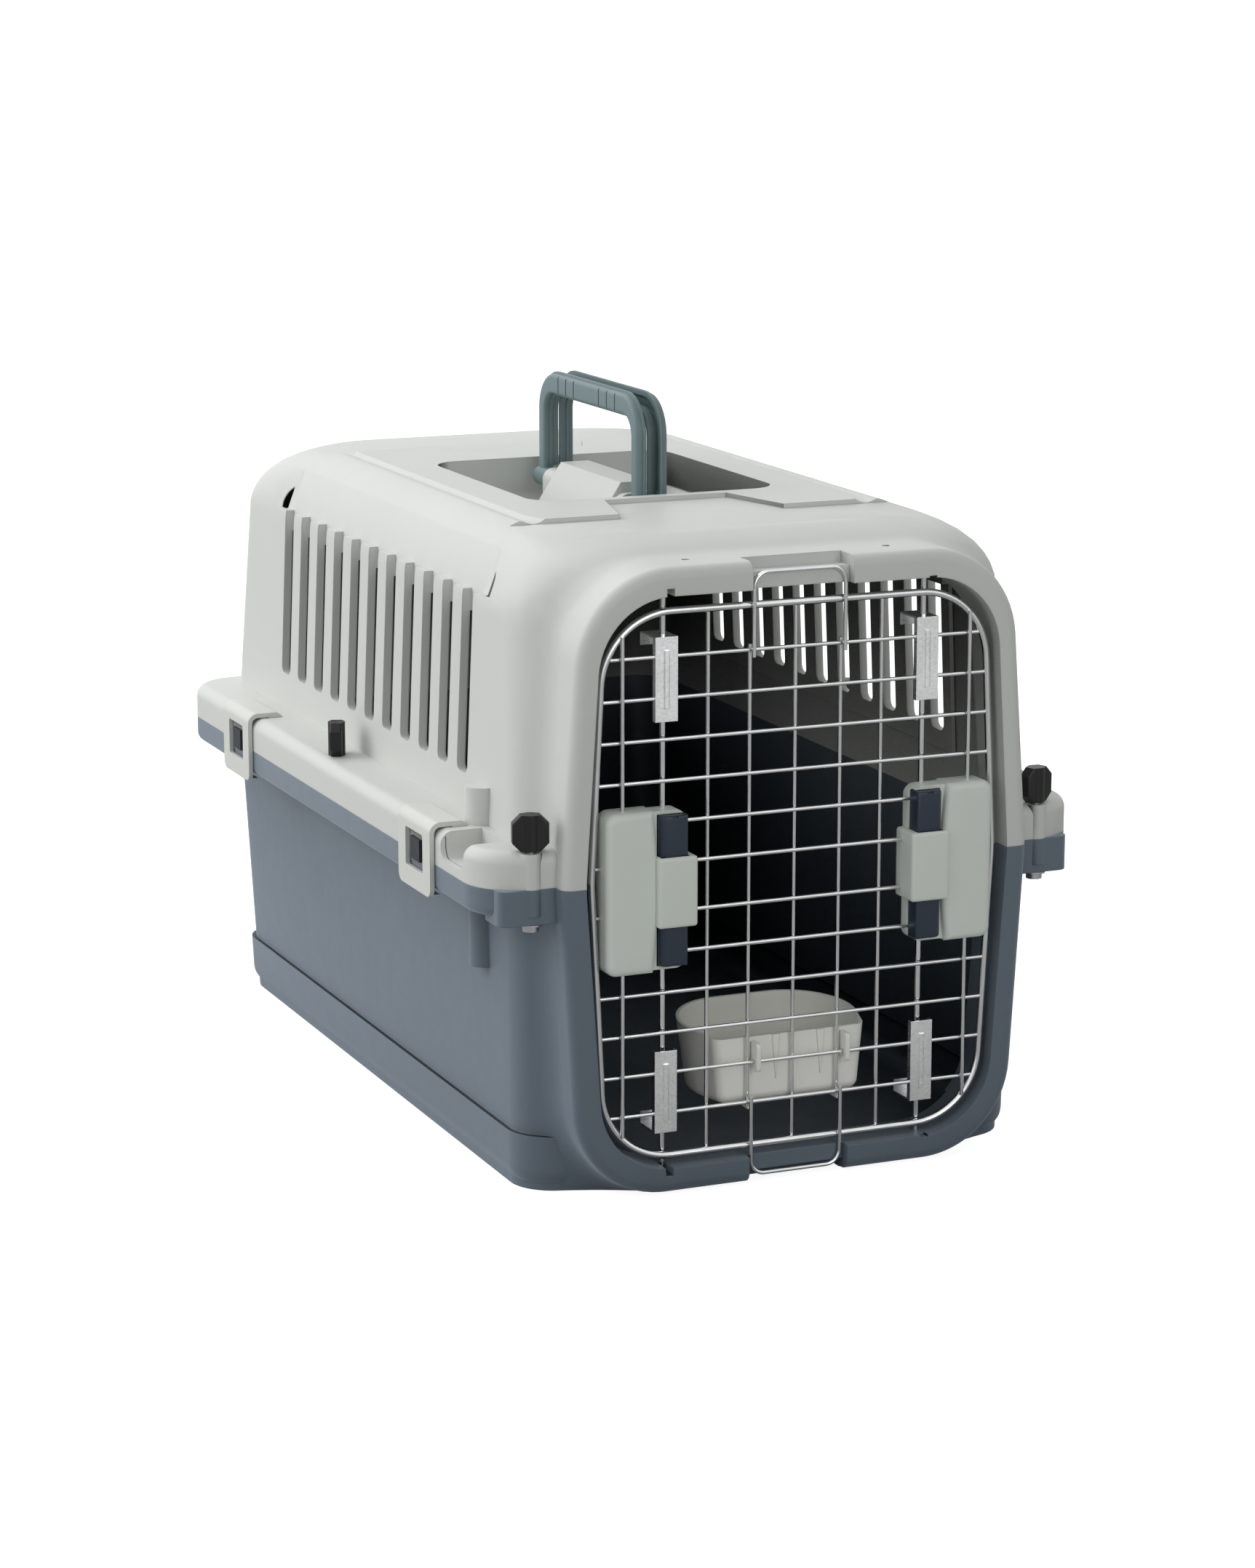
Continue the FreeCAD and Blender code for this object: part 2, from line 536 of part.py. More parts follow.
def build_upper_shell():
    outside = solid("upper_outside", upper_block(0))
    cavity = solid("upper_cavity", upper_block(SIZE["wall"]))
    ringed = with_ring("upper_ringed", outside.Shape, True)
    rim = rim_slab("upper_rim", "seam_height", "rim_height")
    top = SIZE["seam_height"] + SIZE["rim_height"]
    doc.recompute()
    rim = rounded("upper_rim_soft", rim, "rim_round", lambda e: abs(e.BoundBox.ZMin - top) < 1e-6)
    pillars = [rod("upper_pillar_" + side, "pillar_radius", "pillar_top - seam_height",
                   f"{sign} * (body_half - 1)", "pillar_place", "seam_height") for side, sign in SIDES]
    mass = fuse("upper_mass", [ringed, rim] + pillars)
    hollow = rim_hollow("upper_rim_hollow", "seam_height - 1", "rim_height + 1 - wall")
    channel = cut("upper_channel", hollow, [ringed])
    shell = cut("upper_open", mass, [cavity, channel])
    blocks, wells, bores = clip_blocks()
    bosses = [rod("upper_boss_" + name, 7, "rim_height - 1", x, y, "seam_height")
              for name, x, y in bolt_spots()]
    pocket, skin = recess_tools()
    pads = vent_pads(outside)
    cores = [box("lug_core_" + side, "tie_half - 12" if sign > 0 else "-(tie_half + 15)", "scoop_front - 6",
                 "seam_height", 27, "scoop_length + 12", "rim_height - 2") for side, sign in SIDES]
    full = fuse("upper_full", [shell, skin] + pads + blocks + bosses + cores)
    tools = [pocket, opening("upper_opening")] + roof_steps() + wells + bores
    for side, sign in SIDES:
        tools += vent_tools(side, sign) + hood_tool(side, sign)
        tools.append(rod("upper_tie_" + side, "tie_hole", 60, f"{sign} * tie_half", "-tie_place",
                         "seam_height - 5"))
        low_x = "body_half + 5" if sign > 0 else "-(body_half + 5) - 40"
        scoop = box("lug_scoop_" + side, low_x, "scoop_front", "scoop_floor", 40, "scoop_length", 60)
        tools.append(rounded("lug_scoop_soft_" + side, scoop, "scoop_round",
                             lambda e: runs_along(e, "x") and middle(e).z < SIZE["scoop_floor"] + 1))
    tools += [rod("upper_bolt_hole_" + name, "bolt_hole", 80, x, y, "seam_height - 10")
              for name, x, y in bolt_spots()]
    tools += rod_sockets("upper_socket", "opening_top", 1)
    tools.append(doorway_notch("upper_notch", "opening_top - 1", 1))
    tools.append(box("upper_notch_drop", "-notch_half", "ring_face - 1", "ring_top - notch_drop",
                     "2 * notch_half", 20, 30))
    tools += [rod("rivet_hole_" + side, 2.4, 30, f"{sign} * 66", "door_plane + 16", "ring_top - 8")
              for side, sign in SIDES]
    carved = cut("upper_carved", full, tools)
    return cut("upper_shell", fuse("upper_with_pedestal", [carved, pedestal()]), pin_bores())


def build_lower_shell():
    sides = with_ring("lower_ringed", lower_sides(0, -30), False)
    outside = fuse("lower_outside", [sides, solid("lower_band", foot_band(0))])
    cavity = lower_block("lower_cavity", SIZE["wall"])
    rim = rim_slab("lower_rim", "seam_height - rim_depth", "rim_depth")
    low = SIZE["seam_height"] - SIZE["rim_depth"]
    doc.recompute()
    rim = rounded("lower_rim_soft", rim, 6, lambda e: abs(e.BoundBox.ZMax - low) < 1e-6)
    pillars = [rod("lower_pillar_" + side, "pillar_radius", "seam_height - pillar_foot - 2",
                   f"{sign} * (body_half - 3)", "pillar_place", "pillar_foot") for side, sign in SIDES]
    lugs = []
    for side, sign in SIDES:
        x = "(ring_half - 6)" if sign > 0 else "-(carrier_width / 2 - 10)"
        lug = box("lug_block_" + side, x, "rim_front", "seam_height - lug_depth",
                  "carrier_width / 2 - ring_half - 4", "lug_length - 14", "lug_depth")
        lugs.append(rounded("lug_" + side, lug, 7,
                            lambda e: runs_along(e, "z") and abs(middle(e).x) > 170))
    mass = fuse("lower_mass", [outside, rim] + pillars + lugs)
    hollow = rim_hollow("lower_rim_hollow", "seam_height - rim_depth + wall", "rim_depth")
    channel = cut("lower_channel", hollow, [outside])
    shell = cut("lower_open", mass, [cavity, channel])
    bosses = [rod("lower_boss_" + name, 7, "rim_depth - 1", x, y, "seam_height - rim_depth + 1")
              for name, x, y in bolt_spots()]
    full = fuse("lower_full", [shell] + bosses)
    tools = [opening("lower_opening")]
    tools += [rod("lower_bolt_hole_" + name, "bolt_hole", 80, x, y, "seam_height - 50")
              for name, x, y in bolt_spots()]
    tools += [rod("lower_tie_" + side, "tie_hole", 60, f"{sign} * tie_half", "-tie_place", "seam_height - 50")
              for side, sign in SIDES]
    tools += rod_sockets("lower_socket", "opening_bottom", -1)
    tools.append(doorway_notch("lower_notch", "opening_bottom + 1", -1))
    tools.append(box("lower_notch_drop", "-notch_half", "ring_face - 1", "ring_bottom - 25",
                     "2 * notch_half", 20, "25 + notch_drop - 1"))
    return cut("lower_shell", full, tools)


# ---------------------------------------------------------------- fasteners of the shells


def bolt_seat(name):
    """Height of the face that a shell bolt's washer bears on."""
    return "seam_height - lug_depth" if name.startswith("front") else "seam_height - rim_depth"


def build_bolts():
    bolts, washers = [], []
    for name, x, y in bolt_spots():
        seat = bolt_seat(name)
        shank = rod("bolt_shank_" + name, "bolt_radius", f"bolt_top - ({seat}) + washer_thick", x, y,
                    f"{seat} - washer_thick")
        head = rod("bolt_head_" + name, "bolt_head_radius", "bolt_head", x, y,
                   f"{seat} - washer_thick - bolt_head")
        bolts.append(fuse("bolt_" + name, [shank, head]))
        disc = rod("washer_disc_" + name, "washer_radius", "washer_thick", x, y, f"{seat} - washer_thick")
        hole = rod("washer_hole_" + name, "bolt_hole", "3 * washer_thick", x, y, f"{seat} - 2 * washer_thick")
        washers.append(cut("washer_" + name, disc, [hole]))
    subpart("shell_bolts", group("bolts", bolts))
    subpart("bolt_washers", group("washers", washers))


KNOB_TURNS = {"front_left": -15, "front_right": 20, "mid_left": 67, "mid_right": 60}


def build_knob(name, x, y):
    """A wing knob: an octagonal plate with a round core, bored from below for the bolt."""
    body = doc.addObject("PartDesign::Body", "knob_" + name)
    planes = {plane.Role: plane for plane in body.Origin.OriginFeatures}
    half, tall, nip = SIZE["knob_width"] / 2, SIZE["knob_height"], SIZE["knob_corner"]
    sketch = body.newObject("Sketcher::SketchObject", "plate_" + name)
    sketch.AttachmentSupport = (planes["XZ_Plane"], [""])
    sketch.MapMode = "FlatFace"
    corners = [Vector(-half + nip, 0, 0), Vector(half - nip, 0, 0), Vector(half, nip, 0),
               Vector(half, tall - nip, 0), Vector(half - nip, tall, 0), Vector(-half + nip, tall, 0),
               Vector(-half, tall - nip, 0), Vector(-half, nip, 0)]
    rules = [("-knob_width / 2 + knob_corner", "0"), ("knob_width / 2 - knob_corner", "0"),
             ("knob_width / 2", "knob_corner"), ("knob_width / 2", "knob_height - knob_corner"),
             ("knob_width / 2 - knob_corner", "knob_height"), ("-knob_width / 2 + knob_corner", "knob_height"),
             ("-knob_width / 2", "knob_height - knob_corner"), ("-knob_width / 2", "knob_corner")]
    for i, corner in enumerate(corners):
        sketch.addGeometry(Part.LineSegment(corner, corners[(i + 1) % 8]), False)
    for i in range(8):
        sketch.addConstraint(Sketcher.Constraint("Coincident", i, 2, (i + 1) % 8, 1))
    for i, (across, up) in enumerate(rules):
        for kind, text, guess in (("DistanceX", across, corners[i].x), ("DistanceY", up, corners[i].y)):
            number = sketch.addConstraint(Sketcher.Constraint(kind, -1, 1, i, 1, guess))
            sketch.setExpression(f"Constraints[{number}]", rule(text))
    plate = body.newObject("PartDesign::Pad", "plate_pad_" + name)
    plate.Profile = sketch
    plate.Midplane = True
    bind(plate, Length="knob_thick")
    core_sketch = body.newObject("Sketcher::SketchObject", "core_" + name)
    core_sketch.AttachmentSupport = (planes["XY_Plane"], [""])
    core_sketch.MapMode = "FlatFace"
    core_sketch.addGeometry(Part.Circle(Vector(), Vector(0, 0, 1), SIZE["knob_core"]), False)
    core_sketch.addConstraint(Sketcher.Constraint("Coincident", 0, 3, -1, 1))
    number = core_sketch.addConstraint(Sketcher.Constraint("Radius", 0, SIZE["knob_core"]))
    core_sketch.setExpression(f"Constraints[{number}]", rule("knob_core"))
    core = body.newObject("PartDesign::Pad", "core_pad_" + name)
    core.Profile = core_sketch
    bind(core, Length="knob_height")
    doc.recompute()
    edges = [f"Edge{i}" for i, e in enumerate(core.Shape.Edges, start=1)
             if e.Curve.TypeId == "Part::GeomLine" and abs(abs(middle(e).x) - half) < nip + 0.1
             and abs(abs(middle(e).y) - SIZE["knob_thick"] / 2) < 0.01 and abs(middle(e).x) > half - nip - 0.1]
    soft = body.newObject("PartDesign::Fillet", "knob_soft_" + name)
    soft.Base = (core, edges)
    soft.Radius = 1.2
    hole_sketch = body.newObject("Sketcher::SketchObject", "bore_" + name)
    hole_sketch.AttachmentSupport = (planes["XY_Plane"], [""])
    hole_sketch.MapMode = "FlatFace"
    hole_sketch.addGeometry(Part.Circle(Vector(), Vector(0, 0, 1), SIZE["bolt_radius"]), False)
    hole_sketch.addConstraint(Sketcher.Constraint("Coincident", 0, 3, -1, 1))
    number = hole_sketch.addConstraint(Sketcher.Constraint("Radius", 0, SIZE["bolt_radius"]))
    hole_sketch.setExpression(f"Constraints[{number}]", rule("bolt_radius + running_gap"))
    bore = body.newObject("PartDesign::Pocket", "bore_pocket_" + name)
    bore.Profile = hole_sketch
    bore.Reversed = True
    bind(bore, Length="bolt_top - seam_height - rim_height")
    body.Tip = bore
    place(body, x, y, "seam_height + rim_height + 0.2", Rotation(Vector(0, 0, 1), KNOB_TURNS[name]))
    subpart("knob_" + name, body)


# ---------------------------------------------------------------- handle


def handle_hoop(name, x, thick, inset, low, opening=None):
    """A flat U in the YZ plane, lying inset inside the handle's outline and opening outside its opening."""
    opening = inset if opening is None else opening
    top = SIZE["handle_top"] - inset
    blank = box(name + "_blank", x, f"handle_front + {inset}", low, thick,
                f"handle_back - handle_front - 2 * {inset}", f"{top} - ({low})")
    blank = rounded(name + "_bend", blank, SIZE["handle_bend"] - inset,
                    lambda e: runs_along(e, "x") and abs(middle(e).z - top) < 1e-6)
    hole = box(name + "_hole", f"{x} - 1", f"handle_front + handle_leg - {opening}", f"{low} - 20",
               f"{thick} + 2", f"handle_back - handle_front - 2 * handle_leg + 2 * {opening}",
               f"handle_top - handle_bar + {opening} - ({low}) + 20")
    inside = SIZE["handle_top"] - SIZE["handle_bar"] + opening
    hole = rounded(name + "_inside", hole, SIZE["handle_inside"] + opening,
                   lambda e: runs_along(e, "x") and abs(middle(e).z - inside) < 1e-6)
    return cut(name, blank, [hole])


def build_handle(side, sign):
    """One half of the handle: a lipped, hollow U with hubs on a pivot pin and a web that meets its twin."""
    inner = "(pivot_half - handle_thick / 2)"

    def start(gap, thick):
        return f"{inner} + {gap}" if sign > 0 else f"-({inner} + {gap} + {thick})"

    lip = handle_hoop("grip_lip_" + side, start(0, "handle_lip"), "handle_lip", 0, "pivot_height")
    body = handle_hoop("grip_body_" + side, start(0, "handle_thick"), "handle_thick", SIZE["lip_proud"],
                       "pivot_height")
    outer = SIZE["pivot_half"] + SIZE["handle_thick"] / 2
    body = rounded("grip_soft_" + side, body, 2.6,
                   lambda e: abs(abs(middle(e).x) - outer) < 1e-6 and middle(e).z > SIZE["pivot_height"] + 0.1)
    channel = handle_hoop("grip_channel_" + side, start(-1, "(handle_channel + 1)"), "(handle_channel + 1)",
                          SIZE["handle_side"] + SIZE["lip_proud"] / 2, "(pivot_height + handle_hub + 4)")
    web_x = "web_gap" if sign > 0 else f"-({inner} + 1)"
    web = handle_hoop("grip_web_" + side, web_x, f"({inner} + 1 - web_gap)", SIZE["web_inset"],
                      "(pivot_height + handle_hub + 1.5)", SIZE["lip_proud"])
    length = "(handle_leg + hub_reach)"
    hubs = [rod(f"hub_{side}_{end}", "handle_hub", length, f"{sign} * pivot_half", y, "pivot_height", ALONG_Y)
            for end, y in (("front", "handle_front"), ("back", f"handle_back - {length}"))]
    bore = rod("hub_bore_" + side, "handle_pin_radius + running_gap", "handle_back - handle_front + 2",
               f"{sign} * pivot_half", "handle_front - 1", "pivot_height", ALONG_Y)
    skin = f"{sign} * (pivot_half + handle_thick / 2 - groove_deep) - {1 if sign < 0 else 0} * 3"
    grooves = []
    for i in range(3):
        for way in (-1, 1):
            along = f"(handle_front + handle_back) / 2 + {way} * (groove_first + {i} * groove_pitch)"
            grooves.append(box(f"grip_groove_{side}_{i}_{'b' if way > 0 else 'f'}", skin,
                               f"{along} - groove_wide / 2", "handle_top - handle_bar - 1", 3, "groove_wide",
                               "handle_bar + 2"))
    hollow = cut("grip_hollow_" + side, fuse("grip_full_" + side, [lip, body] + hubs), [channel])
    return cut("handle_" + side + "_half", fuse("grip_webbed_" + side, [hollow, web]), [bore] + grooves)


def build_handle_pins():
    """Two long pivot pins, each through both hubs of one handle half and the pedestal between them."""
    pins = [rod("pin_" + side, "handle_pin_radius", "handle_back - handle_front + 1", f"{sign} * pivot_half",
                "handle_front - 0.5", "pivot_height", ALONG_Y) for side, sign in SIDES]
    subpart("handle_pins", group("pins", pins))


# ---------------------------------------------------------------- rim clips


def build_clip(name, sign, along):
    """A hinged clip: leaf over the rim, plate down its side with a window, and a lip under the lower rim."""
    start = f"{along} - clip_width / 2"
    side = "(carrier_width / 2 + clip_gap)"
    outer_x = side if sign > 0 else f"-({side} + clip_thick)"
    top = "(seam_height + rim_height + clip_gap)"
    plate = box("clip_plate_" + name, outer_x, start, "clip_low", "clip_thick", "clip_width",
                f"{top} + clip_thick - clip_low")
    leaf_x = "clip_pivot_half" if sign > 0 else f"-({side} + clip_thick)"
    leaf = box("clip_leaf_" + name, leaf_x, start, top, f"{side} + clip_thick - clip_pivot_half",
               "clip_width", "clip_thick")
    lip_x = "carrier_width / 2 - clip_lip" if sign > 0 else "-(carrier_width / 2 + 1)"
    lip = box("clip_lip_" + name, lip_x, start, "clip_low", "clip_lip + 1", "clip_width", 2)
    barrel = rod("clip_barrel_" + name, "clip_barrel", "clip_width", f"{sign} * clip_pivot_half", start,
                 "clip_pivot_height", ALONG_Y)
    body = fuse("clip_blank_" + name, [plate, leaf, lip, barrel])
    inner_z = SIZE["seam_height"] + SIZE["rim_height"] + SIZE["clip_gap"]
    inner_x = SIZE["carrier_width"] / 2 + SIZE["clip_gap"]
    thick = SIZE["clip_thick"]
    body = rounded("clip_soft_" + name, body, "clip_bend",
                   lambda e: runs_along(e, "y") and abs(abs(middle(e).x) - inner_x - thick) < 1e-6
                   and abs(middle(e).z - inner_z - thick) < 1e-6)
    body = rounded("clip_inside_" + name, body, SIZE["clip_bend"] - thick,
                   lambda e: runs_along(e, "y") and abs(abs(middle(e).x) - inner_x) < 1e-6
                   and abs(middle(e).z - inner_z) < 1e-6)
    body = rounded("clip_foot_" + name, body, "clip_foot",
                   lambda e: runs_along(e, "x") and abs(middle(e).z - SIZE["clip_low"]) < 1e-6)
    window = box("clip_window_" + name, f"{outer_x} - 2", f"{along} - clip_window_width / 2",
                 "clip_window_low", "clip_thick + 4", "clip_window_width", "clip_window_high - clip_window_low")
    window = rounded("clip_window_soft_" + name, window, 2, lambda e: runs_along(e, "x"))
    bore = rod("clip_eye_" + name, "clip_pin_radius + running_gap", "clip_width + 2",
               f"{sign} * clip_pivot_half", f"{start} - 1", "clip_pivot_height", ALONG_Y)
    subpart("rim_clip_" + name, cut("clip_" + name, body, [window, bore]))


def build_clip_fittings():
    pins, catches, pads = [], [], []
    for name, sign, along in clip_spots():
        pins.append(rod("clip_pin_" + name, "clip_pin_radius", "clip_width + 8", f"{sign} * clip_pivot_half",
                        f"{along} - clip_width / 2 - 4", "clip_pivot_height", ALONG_Y))
        pad_x = "carrier_width / 2" if sign > 0 else "-(carrier_width / 2 + 1)"
        pads.append(box("catch_pad_" + name, pad_x, f"{along} - 12.5", "clip_window_low + 3.5", 1, 25,
                        "clip_window_high - clip_window_low - 6"))
        catch_x = "carrier_width / 2 + 1" if sign > 0 else "-(carrier_width / 2 + 3)"
        block = box("catch_block_" + name, catch_x, f"{along} - 8", "clip_window_low + 5.5", 2, 16,
                    "clip_window_high - clip_window_low - 10")
        catches.append(block)
    subpart("clip_pins", group("clip_pin_set", pins))
    subpart("catch_pads", group("catch_pad_set", pads))
    subpart("clip_catches", group("catch_set", catches))


# ---------------------------------------------------------------- wire door


def swept(path, radius):
    """A round wire along a path."""
    start = path.Edges[0]
    point, tangent = start.valueAt(start.FirstParameter), start.tangentAt(start.FirstParameter)
    section = Part.Wire(Part.makeCircle(radius, point, tangent))
    pipe = Part.BRepOffsetAPI.MakePipeShell(path)
    pipe.add(section)
    pipe.build()
    pipe.makeSolid()
    return pipe.shape()


def build_door_frame():
    outline = doorway_outline(SIZE["door_half"], SIZE["door_top"], SIZE["door_bottom"], SIZE["door_lean_top"],
                              SIZE["door_lean_low"], SIZE["door_radius"], SIZE["door_plane"])
    return solid("door_frame_wire", swept(outline, SIZE["frame_wire"]))


def build_cross_wires(frame):
    """Twelve cross wires; the four middle ones stop at the latch housings and two go on to the frame."""
    wires = []
    for i in range(6):
        for way in (-1, 1):
            z = f"door_middle + {way} * (mesh_first + {i} * mesh_pitch)"
            half = "latch_inner + 2" if i < 2 else "door_half + 1"
            wires.append(rod(f"cross_{i}_{'up' if way > 0 else 'low'}", "thin_wire", f"2 * ({half})",
                             f"-({half})", "door_plane", z, ALONG_X))
    for way in (-1, 1):
        for side, sign in SIDES:
            x = "latch_outer - 2" if sign > 0 else "-(door_half + 1)"
            wires.append(rod(f"stub_{side}_{'up' if way > 0 else 'low'}", "thin_wire",
                             "door_half + 3 - latch_outer", x, "door_plane",
                             f"door_middle + {way} * mesh_first", ALONG_X))
    inside = solid("door_inside", doorway_prism(SIZE["door_half"], SIZE["door_top"], SIZE["door_bottom"],
                                                SIZE["door_lean_top"], SIZE["door_lean_low"],
                                                SIZE["door_radius"], SIZE["door_plane"] - 5,
                                                SIZE["door_plane"] + 5))
    trimmed = common("cross_inside", fuse("cross_all", wires), inside)
    return cut("cross_wires", trimmed, [frame])


def build_uprights(frame):
    """Uprights behind the cross wires, and two short ones in front of them near the frame's sides."""
    wires = []
    behind = "door_plane + 2 * thin_wire + 0.02"
    ahead = "door_plane - 2 * thin_wire - 0.02"
    for i, x in enumerate(("0", "upright_inner", "-upright_inner")):
        wires.append(rod(f"upright_{i}", "thin_wire", "door_top - door_bottom", x, behind, "door_bottom"))
    for side, sign in SIDES:
        wires.append(rod("upright_tab_" + side, "thin_wire", "10 * mesh_pitch + 2 * mesh_first + 6",
                         f"{sign} * tab_half", behind, "door_middle - mesh_first - 5 * mesh_pitch - 3"))
        wires.append(rod("upright_outer_" + side, "thin_wire", "10 * mesh_pitch + 2 * mesh_first + 26",
                         f"{sign} * upright_outer", ahead, "door_middle - mesh_first - 5 * mesh_pitch - 12"))
    return cut("upright_wires", fuse("upright_all", wires), [frame])


def build_tabs(frame):
    """Wire tabs above and below the frame, bent as a U, welded to the frame's front."""
    y = SIZE["door_plane"] - SIZE["frame_wire"] - SIZE["thin_wire"] - 0.02
    half, middle_z = SIZE["tab_half"], SIZE["door_middle"]
    reach = SIZE["mesh_first"] + 5 * SIZE["mesh_pitch"]
    tabs = []
    for name, end, way in (("upper", SIZE["tab_top"], 1), ("lower", SIZE["tab_bottom"], -1)):
        start = middle_z + way * (reach - 4)
        corners = [Vector(-half, y, start), Vector(-half, y, end), Vector(half, y, end), Vector(half, y, start)]
        path = rounded_path(corners, [0, 9, 9, 0], closed=False)
        tabs.append(solid("tab_" + name, swept(path, SIZE["thin_wire"])))
    return group("tab_wires", tabs)


def latch_box(name, sign, inner, outer, front, back, low, high):
    """A box given by its distances from the door's middle, plane and centre height."""
    x = inner if sign > 0 else f"-({outer})"
    return box(name, x, f"door_plane - ({front})", f"door_middle + ({low})", f"{outer} - ({inner})",
               f"{front} + {back}", f"{high} - ({low})")


def build_latch_cover(side, sign):
    """The latch housing: outer cover, inner tray and the bridge that the two slides run under."""
    def part(name, *sizes):
        return latch_box(f"{name}_{side}", sign, *sizes)

    edge = SIZE["latch_split"] - SIZE["cover_bulge"]
    curve = (SIZE["latch_tall"] ** 2 + SIZE["cover_bulge"] ** 2) / (2 * SIZE["cover_bulge"])
    blank = part("cover", "latch_split - cover_bulge - 1", "latch_outer", "latch_front", "latch_back",
                 "-latch_tall", "latch_tall")
    bulge = rod("cover_bulge_" + side, curve, 40, f"{sign} * {edge + curve}", "door_plane - 20", "door_middle",
                ALONG_Y)
    cover = common("cover_shape_" + side, blank, bulge)
    face = SIZE["door_plane"] - SIZE["latch_front"]
    cover = rounded("cover_ends_" + side, cover, 7,
                    lambda e: runs_along(e, "y") and abs(middle(e).x) > SIZE["latch_split"] + 5)
    doc.recompute()
    cover = rounded("cover_soft_" + side, cover, 4.5, lambda e: abs(e.BoundBox.YMax - face) < 1e-6)
    tray = part("tray", "latch_inner", "latch_split + 1", "tray_front", "latch_back", "-latch_tall + 1",
                "latch_tall - 1")
    tray = rounded("tray_ends_" + side, tray, 7,
                   lambda e: runs_along(e, "y") and abs(middle(e).x) < SIZE["latch_inner"] + 5)
    bridge = part("bridge", "bridge_inner", "latch_split - 1", "bridge_front", "latch_back", "-bridge_tall",
                  "bridge_tall")
    crown = SIZE["door_plane"] - SIZE["bridge_front"]
    doc.recompute()
    bridge = rounded("bridge_soft_" + side, bridge, 2, lambda e: abs(e.BoundBox.YMax - crown) < 1e-6
                     or runs_along(e, "y"))
    mass = fuse("latch_mass_" + side, [cover, tray, bridge])
    wall = "latch_wall"
    space = part("cover_space", f"latch_split + {wall}", f"latch_outer - {wall}", f"latch_front - {wall}",
                 "latch_back + 1", f"-latch_tall + {wall}", f"latch_tall - {wall}")
    space = rounded("cover_space_ends_" + side, space, 7 - SIZE["latch_wall"],
                    lambda e: runs_along(e, "y") and abs(middle(e).x) > SIZE["latch_split"] + 5)
    tools = [
        space,
        part("slide_window", "slider_inner - slider_gap", "slider_outer + slider_gap", "bridge_front + 4",
             "latch_back + 1", "bridge_tall", "slider_high + 0.3"),
        part("slide_window_low", "slider_inner - slider_gap", "slider_outer + slider_gap", "bridge_front + 4",
             "latch_back + 1", "-slider_high - 0.3", "-bridge_tall"),
        part("bridge_space", "slider_inner - slider_gap", "slider_outer + slider_gap", f"bridge_front - {wall}",
             "latch_back + 1", "-bridge_tall - 1", "bridge_tall + 1"),
        part("lip_window", "latch_inner - 1", "slider_inner", "bridge_front + 4", "-(slider_step - 0.5)",
             "bridge_tall", "slider_high + 0.3"),
        part("lip_window_low", "latch_inner - 1", "slider_inner", "bridge_front + 4", "-(slider_step - 0.5)",
             "-slider_high - 0.3", "-bridge_tall"),
        part("lip_space", "slider_lip - slider_gap", "slider_inner", f"bridge_front - {wall}",
             "-(slider_step - 0.5)", "-bridge_tall - 1", "bridge_tall + 1"),
        rod("latch_rod_hole_" + side, "rod_radius + 0.1", "2 * latch_tall + 4", f"{sign} * rod_half",
            "door_plane + rod_back", "door_middle - latch_tall - 2"),
        rod("latch_upright_hole_" + side, "thin_wire + 0.05", "2 * latch_tall + 4", f"{sign} * upright_outer",
            "door_plane - 2 * thin_wire - 0.02", "door_middle - latch_tall - 2"),
    ]
    for i in range(2):
        for way in (-1, 1):
            tag = f"{side}_{i}_{'up' if way > 0 else 'low'}"
            x = "bridge_inner - 1" if sign > 0 else "-(slider_inner)"
            tools.append(rod("latch_wire_hole_" + tag, "thin_wire + 0.05", "slider_inner - bridge_inner + 1", x,
                             "door_plane", f"door_middle + {way} * (mesh_first + {i} * mesh_pitch)", ALONG_X))
    for way in (-1, 1):
        x = "latch_outer - 4" if sign > 0 else "-(latch_outer + 4)"
        tools.append(rod(f"latch_stub_hole_{side}_{'up' if way > 0 else 'low'}", "thin_wire + 0.05", 8, x,
                         "door_plane", f"door_middle + {way} * mesh_first", ALONG_X))
    hollow = cut("latch_hollow_" + side, mass, tools)
    posts, threads = [], []
    for i, (x, z) in enumerate(screw_spots(sign)):
        posts.append(rod(f"latch_post_{side}_{i}", 3.2, "latch_front + latch_back - 1", x,
                         "door_plane - latch_front + 1", z, ALONG_Y))
        threads.append(rod(f"latch_thread_{side}_{i}", 1.5, 8, x, "door_plane + latch_back - 7", z, ALONG_Y))
    return cut("latch_cover_" + side + "_body", fuse("latch_posts_" + side, [hollow] + posts), threads)


def screw_spots(sign):
    return [(f"{sign} * (latch_split + 8)", f"door_middle + {way} * (latch_tall - 9)") for way in (-1, 1)]


def build_latch_back(side, sign):
    """The plate that closes a latch housing from behind, and its two screws."""
    plate = latch_box("back_" + side, sign, "latch_inner + 1", "latch_outer - 3", "-latch_back",
                      "latch_back + latch_plate", "-latch_tall + 3", "latch_tall - 3")
    plate = rounded("back_ends_" + side, plate, 5, lambda e: runs_along(e, "y"))
    holes, screws = [], []
    for i, (x, z) in enumerate(screw_spots(sign)):
        holes.append(rod(f"back_hole_{side}_{i}", 1.6, 12, x, "door_plane + latch_back - 4", z, ALONG_Y))
        shank = rod(f"screw_shank_{side}_{i}", 1.5, 6, x, "door_plane + latch_back - 2", z, ALONG_Y)
        head = rod(f"screw_head_{side}_{i}", 2.8, 1.6, x, "door_plane + latch_back + latch_plate", z, ALONG_Y)
        screws.append(fuse(f"screw_{side}_{i}", [shank, head]))
    return cut("latch_back_" + side + "_plate", plate, holes), screws


